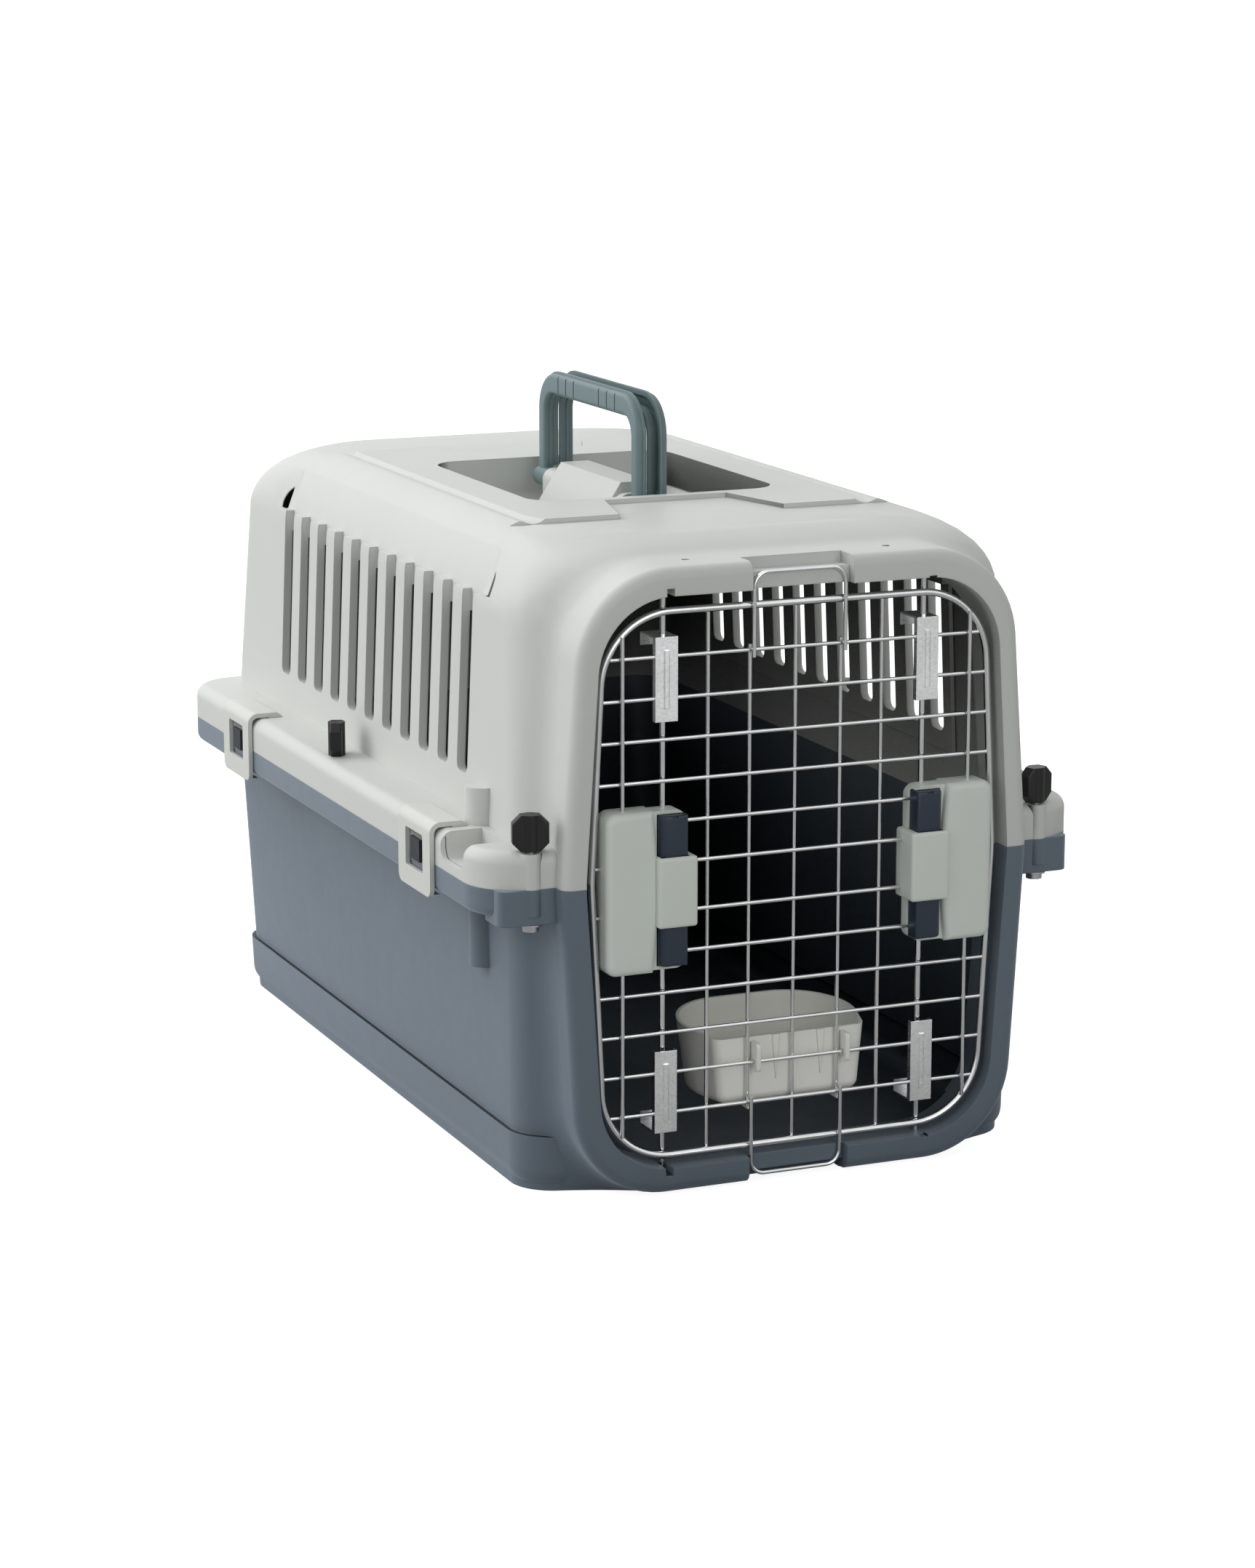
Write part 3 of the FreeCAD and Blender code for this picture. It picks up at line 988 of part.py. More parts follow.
def build_slide(side, sign, end, way):
    """One latch slide with its lock rod pressed in."""
    low, high = ("slider_low", "slider_high") if way > 0 else ("-slider_high", "-slider_low")
    tag = f"{end}_{side}"
    core = latch_box("slide_core_" + tag, sign, "slider_inner", "slider_outer", "latch_front + 0.5",
                     "latch_back - 0.3", low, high)
    lip = latch_box("slide_lip_" + tag, sign, "slider_lip", "slider_inner + 1", "latch_front + 0.5",
                    "-slider_step", low, high)
    block = fuse("slide_" + tag, [core, lip])
    face = SIZE["door_plane"] - SIZE["latch_front"] - 0.5
    block = rounded("slide_side_" + tag, block, 5, lambda e: runs_along(e, "z") and middle(e).y < face + 0.1
                    and abs(middle(e).x) > SIZE["rod_half"])
    block = rounded("slide_soft_" + tag, block, 1.5, lambda e: middle(e).y < face + 0.1 and (
        runs_along(e, "x") or runs_along(e, "z") and abs(middle(e).x) < SIZE["slider_lip"] + 0.1))
    notch = latch_box("slide_notch_" + tag, sign, "rod_half - 3.5", "rod_half + 0.5", "latch_front + 1",
                      "-latch_front + 1.2", f"{high} - 1.2" if way > 0 else f"{low} - 1",
                      f"{high} + 1" if way > 0 else f"{low} + 1.2")
    reach = "opening_top + rod_grip" if way > 0 else "opening_bottom - rod_grip"
    start = "door_middle + slider_low + 4" if way > 0 else reach
    inner_end = "slider_low - 4"
    length = f"{reach} - door_middle - {inner_end}" if way > 0 else f"door_middle - {inner_end} - ({reach})"
    bar = rod(f"lock_bar_{end}_{side}", "rod_radius", length, f"{sign} * rod_half",
              "door_plane + rod_back", start)
    subpart(f"latch_slide_{end}_{side}", cut(f"slide_body_{end}_{side}", block, [bar, notch]))
    subpart(f"lock_rod_{end}_{side}", bar_copy(f"lock_rod_{end}_{side}_bar", bar))


def bar_copy(name, source):
    """The same bar again as a body of its own, its upper end eased so that it finds its socket."""
    item = rounded(name, source, 0.8, lambda e: e.Curve.TypeId == "Part::GeomCircle")
    return item


def build_spring(side, sign):
    """The compression spring between a latch's two slides."""
    length = 2 * SIZE["slider_low"] - 1
    helix = Part.makeHelix(length / 5, length, SIZE["spring_radius"])
    section = Part.Wire(Part.makeCircle(SIZE["spring_wire"], Vector(SIZE["spring_radius"], 0, 0),
                                        Vector(0, 1, 0)))
    coil = Part.Wire(helix.Edges).makePipeShell([section], True, True)
    item = solid("spring_coil_" + side, coil)
    place(item, f"{sign} * (slider_inner + slider_outer) / 2", "door_plane - 4", "door_middle - slider_low + 0.5")
    return item


def build_rod_clips():
    """Stamped clips that hold two cross wires and guide a lock rod behind them."""
    clips = []
    for side, sign in SIDES:
        for end, way in (("upper", 1), ("lower", -1)):
            tag = f"{end}_{side}"
            left = f"{sign} * rod_half - stamp_width / 2"
            low = "door_middle + stamp_low" if way > 0 else "door_middle - stamp_high"
            tall = "stamp_high - stamp_low"
            front = "door_plane - thin_wire - stamp_thick - 0.05"
            plate = box("stamp_" + tag, left, front, low, "stamp_width", "stamp_thick", tall)
            rib = box("stamp_rib_" + tag, f"{sign} * rod_half - 1.8", f"{front} - 1.2", f"{low} + 8", 3.6, 1.4,
                      f"{tall} - 16")
            rib = rounded("stamp_rib_soft_" + tag, rib, 1.0, lambda e: runs_along(e, "z")
                          and middle(e).y < SIZE["door_plane"] - 3)
            arm_z = "door_middle + stamp_high - stamp_thick" if way > 0 else "door_middle - stamp_high"
            arm = box("stamp_arm_" + tag, left, front, arm_z, "stamp_width", "stamp_arm", "stamp_thick")
            curl_z = "door_middle + stamp_high - 8" if way > 0 else "door_middle - stamp_high"
            curl = box("stamp_curl_" + tag, left, f"{front} + stamp_arm - stamp_thick", curl_z, "stamp_width",
                       "stamp_thick", 8)
            flank = box("stamp_flank_" + tag, left, front, low, "stamp_thick", 4.2, tall)
            flank_far = box("stamp_far_" + tag, f"{left} + stamp_width - stamp_thick", front, low,
                            "stamp_thick", 4.2, tall)
            blank = fuse("stamp_blank_" + tag, [plate, rib, arm, curl, flank, flank_far])
            holes = [rod("stamp_hole_" + tag, "rod_radius + 0.15", 80, f"{sign} * rod_half",
                         "door_plane + rod_back", f"{low} - 5")]
            for i in (4, 5):
                holes.append(rod(f"stamp_wire_{i}_{tag}", "thin_wire + 0.03", 40,
                                 f"{sign} * rod_half - 20", "door_plane",
                                 f"door_middle + {way} * (mesh_first + {i} * mesh_pitch)", ALONG_X))
            clips.append(cut("rod_clip_" + tag, blank, holes))
    return group("rod_clip_set", clips)


# ---------------------------------------------------------------- feeding bowl


def bowl_block(name, inset, low):
    """The bowl's shape in plan: flat towards the door, flaring to a round back; the rim rises to the back."""
    front = SIZE["door_plane"] + SIZE["bowl_front"]
    back = front + SIZE["bowl_depth"]
    top, nip = SIZE["bowl_rim_back"] + 5, 7
    levels = []
    for height, draft in ((low, 5), (top, 0)):
        near, far = SIZE["bowl_half"] - inset - draft, SIZE["bowl_half"] + SIZE["bowl_flare"] - inset - draft
        corners = [Vector(-near, front + inset, height), Vector(near, front + inset, height),
                   Vector(far, back - inset - draft, height), Vector(-far, back - inset - draft, height)]
        round_back = SIZE["bowl_round"] - inset
        levels.append(rounded_path(corners, [nip - inset / 2, nip - inset / 2, round_back, round_back]))
    block = Part.makeLoft(levels, True, True)
    bottom = [e for e in block.Edges if abs(e.BoundBox.ZMax - low) < 1e-6]
    return solid(name, block.makeFillet(6 - inset, bottom))


def yz_prism(name, corners, start, end):
    """A prism along X over a polygon of (y, z) corners."""
    points = [Vector(start, y, z) for y, z in corners]
    face = Part.Face(Part.makePolygon(points + points[:1]))
    return solid(name, face.extrude(Vector(end - start, 0, 0)))


def build_bowl():
    low, wall = SIZE["bowl_bottom"], SIZE["bowl_wall"]
    front = SIZE["door_plane"] + SIZE["bowl_front"]
    back = front + SIZE["bowl_depth"]
    outside = bowl_block("bowl_outside", 0, low)
    inside = bowl_block("bowl_inside", wall, low + wall)
    over = yz_prism("bowl_rim_slope", [(front, SIZE["bowl_rim_front"]), (back, SIZE["bowl_rim_back"]),
                                       (back + 5, SIZE["bowl_rim_back"]), (back + 5, 130), (front - 9, 130),
                                       (front - 9, SIZE["bowl_rim_front"])], -90, 90)
    ribs, hooks, gaps = [], [], []
    wire_z = "door_middle - mesh_first - 4 * mesh_pitch"
    for name, x in (("left", "hook_left - 2.6"), ("right", "hook_right - 2.6")):
        ribs.append(box("bowl_rib_" + name, f"{x} - 0.7", "door_plane + bowl_front - 1", "bowl_foot", 1.4, 10,
                        "bowl_rim_front - bowl_foot"))
    for i, x in enumerate((-10, 20)):
        rim = SIZE["bowl_rim_front"]
        points = [Vector(x - 2.6, front - 1, rim), Vector(x + 2.6, front - 1, rim), Vector(x, front - 1, rim - 28)]
        gusset = Part.Face(Part.makePolygon(points + points[:1])).extrude(Vector(0, 2, 0))
        ribs.append(solid(f"bowl_gusset_{i}", gusset))
    for name, x in (("left", "hook_left"), ("right", "hook_right")):
        fin = box("hook_fin_" + name, f"{x} - hook_thick / 2", "door_plane - 4.6", f"{wire_z} - 6",
                  "hook_thick", "bowl_front + 5.6", 18)
        hooks.append(rounded("hook_soft_" + name, fin, 2.8,
                             lambda e: runs_along(e, "x") and middle(e).y < SIZE["door_plane"] - 2))
        gaps.append(box("hook_gap_" + name, f"{x} - hook_thick", "door_plane - thin_wire - 0.35",
                        f"{wire_z} - 10", "2 * hook_thick", "2 * thin_wire + 0.7", "10 + thin_wire + 0.1"))
        gaps.append(box("hook_relief_" + name, f"{x} - hook_thick", "door_plane - 1", f"{wire_z} - 10",
                        "2 * hook_thick", "bowl_front + 0.9", "10 - 4"))
    cup = cut("bowl_cup", fuse("bowl_full", [outside] + ribs), [inside, over])
    fins = cut("bowl_fins", fuse("bowl_fin_pair", hooks), gaps)
    return fuse("bowl", [cup, fins])


# ---------------------------------------------------------------- assembly


subpart("upper_shell", build_upper_shell())
subpart("lower_shell", build_lower_shell())
build_bolts()
for spot_name, spot_x, spot_y in bolt_spots():
    build_knob(spot_name, spot_x, spot_y)
for side_name, side_sign in SIDES:
    subpart("handle_" + side_name, build_handle(side_name, side_sign))
build_handle_pins()
for spot_name, spot_sign, spot_along in clip_spots():
    build_clip(spot_name, spot_sign, spot_along)
build_clip_fittings()
frame_wire = build_door_frame()
subpart("door_frame", frame_wire)
subpart("door_cross_wires", build_cross_wires(frame_wire))
subpart("door_uprights", build_uprights(frame_wire))
subpart("door_tabs", build_tabs(frame_wire))
screw_set = []
for side_name, side_sign in SIDES:
    subpart("latch_cover_" + side_name, build_latch_cover(side_name, side_sign))
    back_plate, back_screws = build_latch_back(side_name, side_sign)
    subpart("latch_back_" + side_name, back_plate)
    screw_set += back_screws
    for end_name, end_way in (("upper", 1), ("lower", -1)):
        build_slide(side_name, side_sign, end_name, end_way)
    subpart("latch_spring_" + side_name, build_spring(side_name, side_sign))
subpart("latch_screws", group("latch_screw_set", screw_set))
subpart("rod_clips", build_rod_clips())
subpart("feeding_bowl", build_bowl())

doc.recompute()
faults = [f"{item.Name}: {item.State}" for item in doc.Objects
          if {"Invalid", "Error"} & set(item.State)]
faults += [f"{node}: no valid solid" for node, item in subparts
           if item.Shape.isNull() or not item.Shape.isValid() or not item.Shape.Solids]
if faults:
    raise SystemExit("\n".join(faults))
os.makedirs("parts", exist_ok=True)
for node, item in subparts:
    item.Shape.exportStep(os.path.join("parts", node + ".step"))
print(len(subparts), "sub-parts written")
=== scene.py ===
"""Looks for the pet transport carrier: moulded shells, plated wire door, studio light and camera."""

import json
import math

import bpy
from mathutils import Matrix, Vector

MM = 0.001
# Reach, axis and back wall used by the painted cabin shade mask.
CABIN_REACH = 0.35
CABIN_AXIS = (0, 0, 190 * MM)
BACK_WALL = 240 * MM
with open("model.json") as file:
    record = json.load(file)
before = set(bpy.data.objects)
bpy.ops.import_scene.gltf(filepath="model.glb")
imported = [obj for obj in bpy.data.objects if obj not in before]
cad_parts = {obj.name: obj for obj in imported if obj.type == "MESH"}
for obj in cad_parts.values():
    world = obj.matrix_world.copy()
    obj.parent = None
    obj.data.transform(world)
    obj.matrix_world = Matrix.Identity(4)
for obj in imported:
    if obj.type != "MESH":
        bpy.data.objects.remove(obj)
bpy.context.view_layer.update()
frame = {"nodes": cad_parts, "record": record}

# ---------------------------------------------------------------- camera values
LENS = 93.07
SENSOR = 36
AZIMUTH, ELEVATION = math.radians(-23.02), math.radians(12.52)
DISTANCE = 2392.87 * MM
TARGET = Vector((-110.13, -295.4, 255.15)) * MM

# ---------------------------------------------------------------- colours, linear
UPPER_GREY = (0.65, 0.665, 0.635)
LOWER_SLATE = (0.108, 0.142, 0.178)
HANDLE_SLATE = (0.175, 0.240, 0.250)
KNOB_BLACK = (0.012, 0.012, 0.013)
CLIP_CREAM = (0.68, 0.69, 0.65)
PAD_GREY = (0.24, 0.255, 0.255)
CATCH_SLATE = (0.022, 0.028, 0.034)
LATCH_GREY = (0.73, 0.78, 0.72)
NAVY = (0.030, 0.043, 0.066)
BOWL_GREY = (0.92, 0.92, 0.86)
CHROME = (0.80, 0.80, 0.80)
ROD_CHROME = (0.86, 0.86, 0.86)
STAMPED_CHROME = (0.95, 0.95, 0.95)
STEEL = (0.52, 0.53, 0.54)

# ---------------------------------------------------------------- light values
BRIGHT_SIDE = Vector((-0.55, 0.60, 0.58)).normalized()
DIM, BRIGHT = 0.10, 1.0
MIRRORED = 0.95


# ---------------------------------------------------------------- node helpers


def new_material(name):
    """An empty node material with a Principled shader, and short ways to add nodes and links."""
    material = bpy.data.materials.new(name)
    material.use_nodes = True
    tree = material.node_tree
    shader = tree.nodes["Principled BSDF"]
    return material, tree, shader


def add(tree, kind, **values):
    node = tree.nodes.new(kind)
    for key, value in values.items():
        if key in node.inputs:
            node.inputs[key].default_value = value
        else:
            setattr(node, key.lower(), value)
    return node


def place_coordinates(tree):
    """Object coordinates: the row frame, in metres, because every node's object sits at the origin."""
    return tree.nodes.new("ShaderNodeTexCoord").outputs["Object"]


def noise(tree, where, scale, detail=4.0, rough=0.55):
    node = add(tree, "ShaderNodeTexNoise", Scale=scale, Detail=detail, Roughness=rough)
    tree.links.new(where, node.inputs["Vector"])
    return node.outputs["Fac"]


def remap(tree, value, low, high, to_low, to_high):
    node = tree.nodes.new("ShaderNodeMapRange")
    for key, number in (("From Min", low), ("From Max", high), ("To Min", to_low), ("To Max", to_high)):
        node.inputs[key].default_value = number
    tree.links.new(value, node.inputs["Value"])
    return node.outputs["Result"]


def shade(tree, colour, factor):
    """The colour multiplied by a grey factor socket."""
    node = tree.nodes.new("ShaderNodeVectorMath")
    node.operation = "SCALE"
    if isinstance(colour, tuple):
        node.inputs[0].default_value = colour
    else:
        tree.links.new(colour, node.inputs[0])
    tree.links.new(factor, node.inputs["Scale"])
    return node.outputs["Vector"]


def mix(tree, factor, first, second):
    node = tree.nodes.new("ShaderNodeMix")
    node.data_type = "RGBA"
    tree.links.new(factor, node.inputs["Factor"])
    for socket, colour in (("A", first), ("B", second)):
        target = [s for s in node.inputs if s.name == socket and s.type == "RGBA"][0]
        if isinstance(colour, tuple):
            target.default_value = (*colour, 1)
        else:
            tree.links.new(colour, target)
    return [s for s in node.outputs if s.type == "RGBA"][0]


def edge_wear(tree, radius):
    """1 on sharp edges and 0 on flats, from the angle between the true and the bevelled normal."""
    bevel = add(tree, "ShaderNodeBevel", Radius=radius)
    bevel.samples = 4
    true = tree.nodes.new("ShaderNodeNewGeometry")
    dot = tree.nodes.new("ShaderNodeVectorMath")
    dot.operation = "DOT_PRODUCT"
    tree.links.new(bevel.outputs["Normal"], dot.inputs[0])
    tree.links.new(true.outputs["Normal"], dot.inputs[1])
    return remap(tree, dot.outputs["Value"], 0.99, 0.86, 0.0, 1.0), bevel.outputs["Normal"]


def vector_math(tree, operation, first, second):
    node = tree.nodes.new("ShaderNodeVectorMath")
    node.operation = operation
    for socket, value in zip(node.inputs, (first, second)):
        if isinstance(value, tuple):
            socket.default_value = value
        else:
            tree.links.new(value, socket)
    return node.outputs["Value" if operation == "DOT_PRODUCT" else "Vector"]


def number_math(tree, operation, first, second):
    node = tree.nodes.new("ShaderNodeMath")
    node.operation = operation
    for socket, value in zip(node.inputs, (first, second)):
        if isinstance(value, (int, float)):
            socket.default_value = value
        else:
            tree.links.new(value, socket)
    return node.outputs["Value"]


def painted_cabin_shade(tree, where, darkest_painted_shade):
    """Painted cabin shade: a colour factor of 1 on the outsides and in open creases, falling to the given darkest
    value on the cabin's enclosed inner faces, from local occlusion and an inward-facing mask.
    """
    occlusion = tree.nodes.new("ShaderNodeAmbientOcclusion")
    occlusion.samples = 6
    occlusion.only_local = True
    occlusion.inputs["Distance"].default_value = CABIN_REACH
    open_air = remap(tree, occlusion.outputs["AO"], 0.45, 0.85, 0.0, 1.0)
    normal = tree.nodes.new("ShaderNodeNewGeometry").outputs["Normal"]
    from_axis = vector_math(tree, "SUBTRACT", where, CABIN_AXIS)
    across = vector_math(tree, "MULTIPLY", from_axis, (1.0, 0.0, 1.0))
    facing_out = remap(tree, vector_math(tree, "DOT_PRODUCT", across, normal), -0.06, -0.02, 0.0, 1.0)
    along = vector_math(tree, "DOT_PRODUCT", where, (0.0, 1.0, 0.0))
    at_back = remap(tree, along, BACK_WALL, BACK_WALL + 0.02, 0.0, 1.0)
    to_front = remap(tree, vector_math(tree, "DOT_PRODUCT", normal, (0.0, -1.0, 0.0)), 0.3, 0.6, 0.0, 1.0)
    inner_back = number_math(tree, "MULTIPLY", at_back, to_front)
    outside = number_math(tree, "SUBTRACT", facing_out, inner_back)
    return remap(tree, number_math(tree, "MAXIMUM", open_air, outside), 0.0, 1.0, darkest_painted_shade, 1.0)


def bump(tree, height, distance, strength, normal=None):
    node = add(tree, "ShaderNodeBump", Distance=distance, Strength=strength)
    tree.links.new(height, node.inputs["Height"])
    if normal is not None:
        tree.links.new(normal, node.inputs["Normal"])
    return node.outputs["Normal"]


def plastic(name, colour, rough, grain=0.0006, edge=0.0008, gloss=0.35, tone=0.03, worn=0.10, depth=0.00002,
            darkest_painted_shade=1.0, bloom=0.0):
    """Moulded plastic: spark-eroded grain, slow colour drift, soft lighter edges and faint scuffs; where asked,
    painted shade darkens the cabin's inner faces and damps their specular and sheen.
    """
    material, tree, shader = new_material(name)
    where = place_coordinates(tree)
    drift = noise(tree, where, 7.0, 2.0)
    fine = noise(tree, where, 1 / grain, 3.0, 0.6)
    scuff = noise(tree, where, 55.0, 6.0, 0.7)
    level = remap(tree, drift, 0.3, 0.7, 1 - tone, 1 + tone)
    base = shade(tree, colour, level)
    shader.inputs["Specular IOR Level"].default_value = gloss
    # Painted shade: the cabin's inner faces are darkened in colour, specular and sheen.
    if darkest_painted_shade < 1:
        painted_shade_factor = painted_cabin_shade(tree, where, darkest_painted_shade)
        base = shade(tree, base, painted_shade_factor)
        tree.links.new(number_math(tree, "MULTIPLY", painted_shade_factor, gloss), shader.inputs["Specular IOR Level"])
        tree.links.new(number_math(tree, "MULTIPLY", painted_shade_factor, bloom), shader.inputs["Sheen Weight"])
        shader.inputs["Sheen Tint"].default_value = (0.78, 0.88, 1.0, 1)
    wear, soft = edge_wear(tree, edge)
    pale = tuple(min(1.0, c * 1.25 + 0.02) for c in colour)
    amount = add(tree, "ShaderNodeMath", operation="MULTIPLY")
    tree.links.new(wear, amount.inputs[0])
    amount.inputs[1].default_value = worn
    tree.links.new(mix(tree, amount.outputs[0], base, pale), shader.inputs["Base Color"])
    tree.links.new(remap(tree, scuff, 0.35, 0.75, rough + 0.05, rough - 0.06), shader.inputs["Roughness"])
    tree.links.new(bump(tree, fine, depth, 0.5, soft), shader.inputs["Normal"])
    return material


def metal(name, colour, rough, scale=(900.0, 900.0, 60.0), edge=0.0003, tarnish=0.12):
    """Plated or plain metal: drawn streaks and cloudy tarnish."""
    material, tree, shader = new_material(name)
    where = place_coordinates(tree)
    stretch = tree.nodes.new("ShaderNodeMapping")
    stretch.inputs["Scale"].default_value = scale
    tree.links.new(where, stretch.inputs["Vector"])
    streak = noise(tree, stretch.outputs["Vector"], 1.0, 3.0)
    cloud = noise(tree, where, 40.0, 4.0)
    base = shade(tree, colour, remap(tree, cloud, 0.35, 0.7, 1.0, 1 - tarnish))
    tree.links.new(base, shader.inputs["Base Color"])
    shader.inputs["Metallic"].default_value = 1.0
    tree.links.new(remap(tree, streak, 0.3, 0.7, rough * 0.8, rough * 1.3), shader.inputs["Roughness"])
    soft = add(tree, "ShaderNodeBevel", Radius=edge)
    soft.samples = 4
    tree.links.new(bump(tree, streak, 0.00001, 0.3, soft.outputs["Normal"]), shader.inputs["Normal"])
    return material


# ---------------------------------------------------------------- finishes of the CAD nodes


FINISHES = {
    # The two shells take painted cabin shade down to 0.05 of their colour on the cabin's inner faces.
    "shell_upper": plastic("upper_moulding", UPPER_GREY, 0.46, grain=0.0007, edge=0.0012, tone=0.012, worn=0.08,
                           darkest_painted_shade=0.05),
    "shell_lower": plastic("lower_moulding", LOWER_SLATE, 0.46, grain=0.0007, edge=0.0012, gloss=0.6, tone=0.04,
                           worn=0.22, darkest_painted_shade=0.05, bloom=0.50),
    "handle": plastic("handle_moulding", HANDLE_SLATE, 0.44, edge=0.0008, tone=0.03, worn=0.25),
    "knob": plastic("knob_moulding", KNOB_BLACK, 0.38, edge=0.0007, tone=0.1, worn=0.12),
    "rim_clip": plastic("clip_moulding", CLIP_CREAM, 0.38, edge=0.0010, tone=0.012, worn=0.08),
    "catch_pad": plastic("pad_moulding", PAD_GREY, 0.5, edge=0.0005, worn=0.15),
    "catch_dark": plastic("catch_moulding", CATCH_SLATE, 0.45, edge=0.0005, worn=0.2),
    "latch_cover": plastic("latch_cover_moulding", LATCH_GREY, 0.42, edge=0.0010, tone=0.012, worn=0.08),
    "latch_back": plastic("latch_back_moulding", LATCH_GREY, 0.45, edge=0.0008, worn=0.08),
    "latch_slide": plastic("slide_moulding", NAVY, 0.36, edge=0.0007, worn=0.25),
    "bowl": plastic("bowl_moulding", BOWL_GREY, 0.40, edge=0.0009, worn=0.10),
    "clip_pin": metal("pin_steel", STEEL, 0.3),
    "bolt_steel": metal("fastener_steel", STEEL, 0.28, scale=(700.0, 700.0, 700.0)),
    "door_wire": metal("wire_plating", CHROME, 0.17, scale=(700.0, 700.0, 700.0)),
    "lock_rod": metal("rod_plating", ROD_CHROME, 0.10, scale=(1200.0, 1200.0, 90.0)),
    "stamped_metal": metal("stamping_plating", STAMPED_CHROME, 0.30, scale=(400.0, 400.0, 900.0), edge=0.0005),
    "spring": metal("spring_wire", STEEL, 0.22),
}


def smooth(obj, angle=32):
    """Shades the node smooth, with edges sharper than the angle kept crisp."""
    for polygon in obj.data.polygons:
        polygon.use_smooth = True
    group = smooth_group(angle)
    modifier = obj.modifiers.new("smooth by angle", "NODES")
    modifier.node_group = group


def smooth_group(angle):
    name = f"smooth_{angle}"
    if name in bpy.data.node_groups:
        return bpy.data.node_groups[name]
    tree = bpy.data.node_groups.new(name, "GeometryNodeTree")
    tree.interface.new_socket("Geometry", in_out="INPUT", socket_type="NodeSocketGeometry")
    tree.interface.new_socket("Geometry", in_out="OUTPUT", socket_type="NodeSocketGeometry")
    start = tree.nodes.new("NodeGroupInput")
    end = tree.nodes.new("NodeGroupOutput")
    weld = tree.nodes.new("GeometryNodeMergeByDistance")
    weld.inputs["Distance"].default_value = 0.000002
    edge_angle = tree.nodes.new("GeometryNodeInputMeshEdgeAngle")
    sharp = tree.nodes.new("FunctionNodeCompare")
    sharp.data_type = "FLOAT"
    sharp.operation = "LESS_THAN"
    sharp.inputs["B"].default_value = math.radians(angle)
    shade_edges = tree.nodes.new("GeometryNodeSetShadeSmooth")
    shade_edges.domain = "EDGE"
    shade_faces = tree.nodes.new("GeometryNodeSetShadeSmooth")
    shade_faces.domain = "FACE"
    tree.links.new(start.outputs[0], weld.inputs["Geometry"])
    tree.links.new(edge_angle.outputs["Unsigned Angle"], sharp.inputs["A"])
    tree.links.new(weld.outputs["Geometry"], shade_edges.inputs["Geometry"])
    tree.links.new(sharp.outputs["Result"], shade_edges.inputs["Shade Smooth"])
    tree.links.new(shade_edges.outputs["Geometry"], shade_faces.inputs["Geometry"])
    tree.links.new(shade_faces.outputs["Geometry"], end.inputs[0])
    return tree


slots = {part["node"]: part["material_slot"] for part in frame["record"]["subparts"]}
for node_name, node in frame["nodes"].items():
    node.data.materials.clear()
    node.data.materials.append(FINISHES[slots[node_name]])
    smooth(node)


# ---------------------------------------------------------------- studio


def area_light(name, where, towards, width, height, power):
    light = bpy.data.lights.new(name, "AREA")
    light.shape = "RECTANGLE"
    light.size, light.size_y = width, height
    light.energy = power
    holder = bpy.data.objects.new(name, light)
    holder.location = where
    holder.rotation_euler = (Vector(towards) - Vector(where)).to_track_quat("-Z", "Y").to_euler()
    bpy.context.scene.collection.objects.link(holder)
    return holder


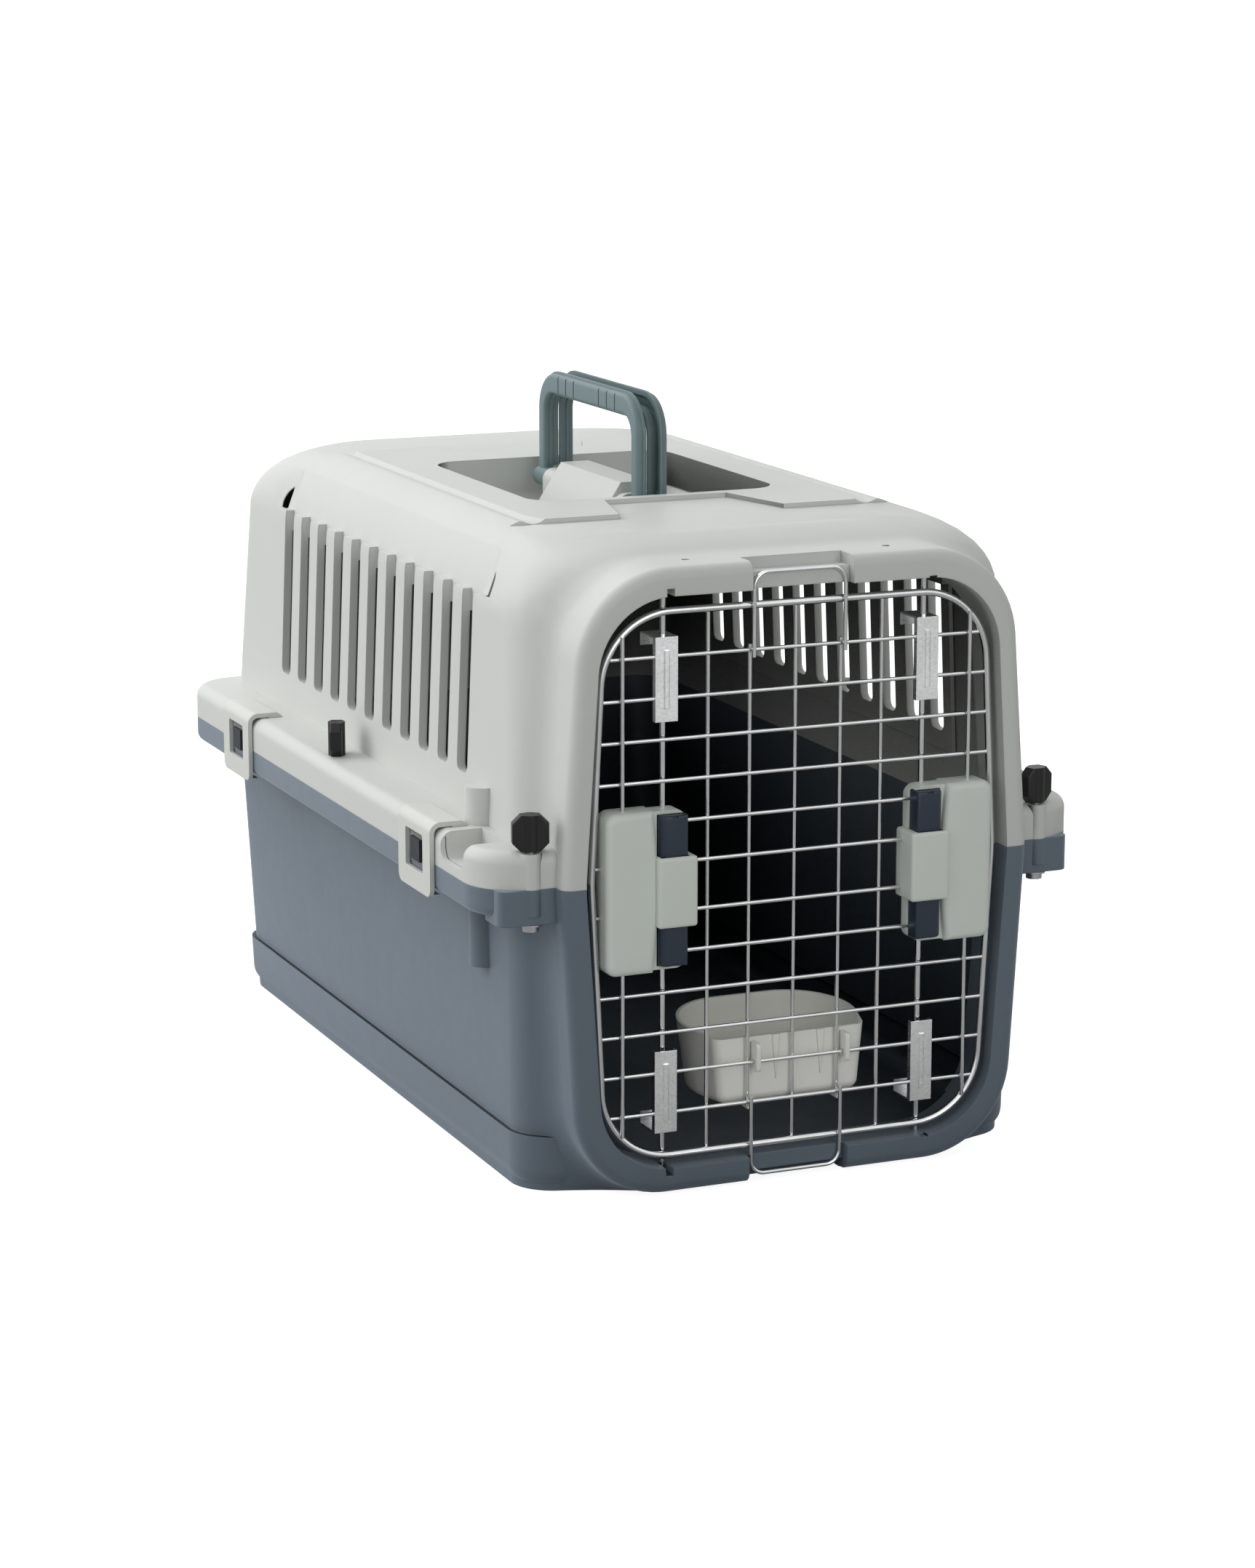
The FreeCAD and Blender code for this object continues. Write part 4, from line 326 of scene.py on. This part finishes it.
def build_world():
    """A surround that is bright behind, above and to the left, and dim in front; the camera sees plain white."""
    world = bpy.data.worlds.new("studio")
    world.use_nodes = True
    tree = world.node_tree
    direction = tree.nodes.new("ShaderNodeTexCoord").outputs["Generated"]
    facing = tree.nodes.new("ShaderNodeVectorMath")
    facing.operation = "DOT_PRODUCT"
    tree.links.new(direction, facing.inputs[0])
    facing.inputs[1].default_value = BRIGHT_SIDE
    surround = tree.nodes["Background"]
    surround.inputs["Color"].default_value = (0.98, 0.99, 1, 1)
    path = tree.nodes.new("ShaderNodeLightPath")
    lit = remap(tree, facing.outputs["Value"], -0.45, 0.9, DIM, BRIGHT)
    mirrored = number_math(tree, "MULTIPLY", path.outputs["Is Glossy Ray"], MIRRORED)
    tree.links.new(number_math(tree, "MAXIMUM", lit, mirrored), surround.inputs["Strength"])
    seen = tree.nodes.new("ShaderNodeBackground")
    seen.inputs["Color"].default_value = (1, 1, 1, 1)
    seen.inputs["Strength"].default_value = 1.0
    blend = tree.nodes.new("ShaderNodeMixShader")
    tree.links.new(path.outputs["Is Camera Ray"], blend.inputs["Fac"])
    tree.links.new(surround.outputs[0], blend.inputs[1])
    tree.links.new(seen.outputs[0], blend.inputs[2])
    tree.links.new(blend.outputs[0], tree.nodes["World Output"].inputs["Surface"])
    bpy.context.scene.world = world


def build_floor():
    """A pale floor that fades to white away from the object, so the horizon isn't seen."""
    bpy.ops.mesh.primitive_circle_add(vertices=96, radius=6, fill_type="NGON", location=(0, 0, -0.0005))
    floor = bpy.context.object
    floor.name = "studio_floor"
    material, tree, shader = new_material("studio_paper")
    where = place_coordinates(tree)
    tint = remap(tree, noise(tree, where, 3.0), 0.3, 0.7, 0.97, 1.0)
    tree.links.new(shade(tree, (0.45, 0.45, 0.45), tint), shader.inputs["Base Color"])
    shader.inputs["Roughness"].default_value = 0.9
    shader.inputs["Specular IOR Level"].default_value = 0.1
    shader.inputs["Emission Color"].default_value = (1, 1, 1, 1)
    glow = tree.nodes.new("ShaderNodeLightPath")
    tree.links.new(remap(tree, glow.outputs["Is Camera Ray"], 0, 1, 0.0, 0.9), shader.inputs["Emission Strength"])
    floor.data.materials.append(material)


def build_camera():
    camera = bpy.data.cameras.new("camera")
    camera.lens = LENS
    camera.sensor_width = SENSOR
    camera.sensor_fit = "AUTO"
    camera.clip_end = 50
    holder = bpy.data.objects.new("camera", camera)
    back = Vector((math.sin(AZIMUTH) * math.cos(ELEVATION), -math.cos(AZIMUTH) * math.cos(ELEVATION),
                   math.sin(ELEVATION)))
    holder.location = TARGET + back * DISTANCE
    holder.rotation_euler = back.to_track_quat("Z", "Y").to_euler()
    bpy.context.scene.collection.objects.link(holder)
    bpy.context.scene.camera = holder


build_world()
build_floor()
area_light("key_left", (-2.5, 1.3, 1.5), (0, 0, 0.2), 1.8, 1.8, 27)
area_light("top_soft", (-0.6, 1.5, 2.3), (0, 0, 0.3), 2.0, 2.0, 15)
area_light("front_fill", (0.3, -3.0, 1.0), (0, 0, 0.2), 1.2, 1.2, 14)
build_camera()
bpy.context.scene.view_settings.view_transform = "Standard"
bpy.context.scene.view_settings.look = "None"
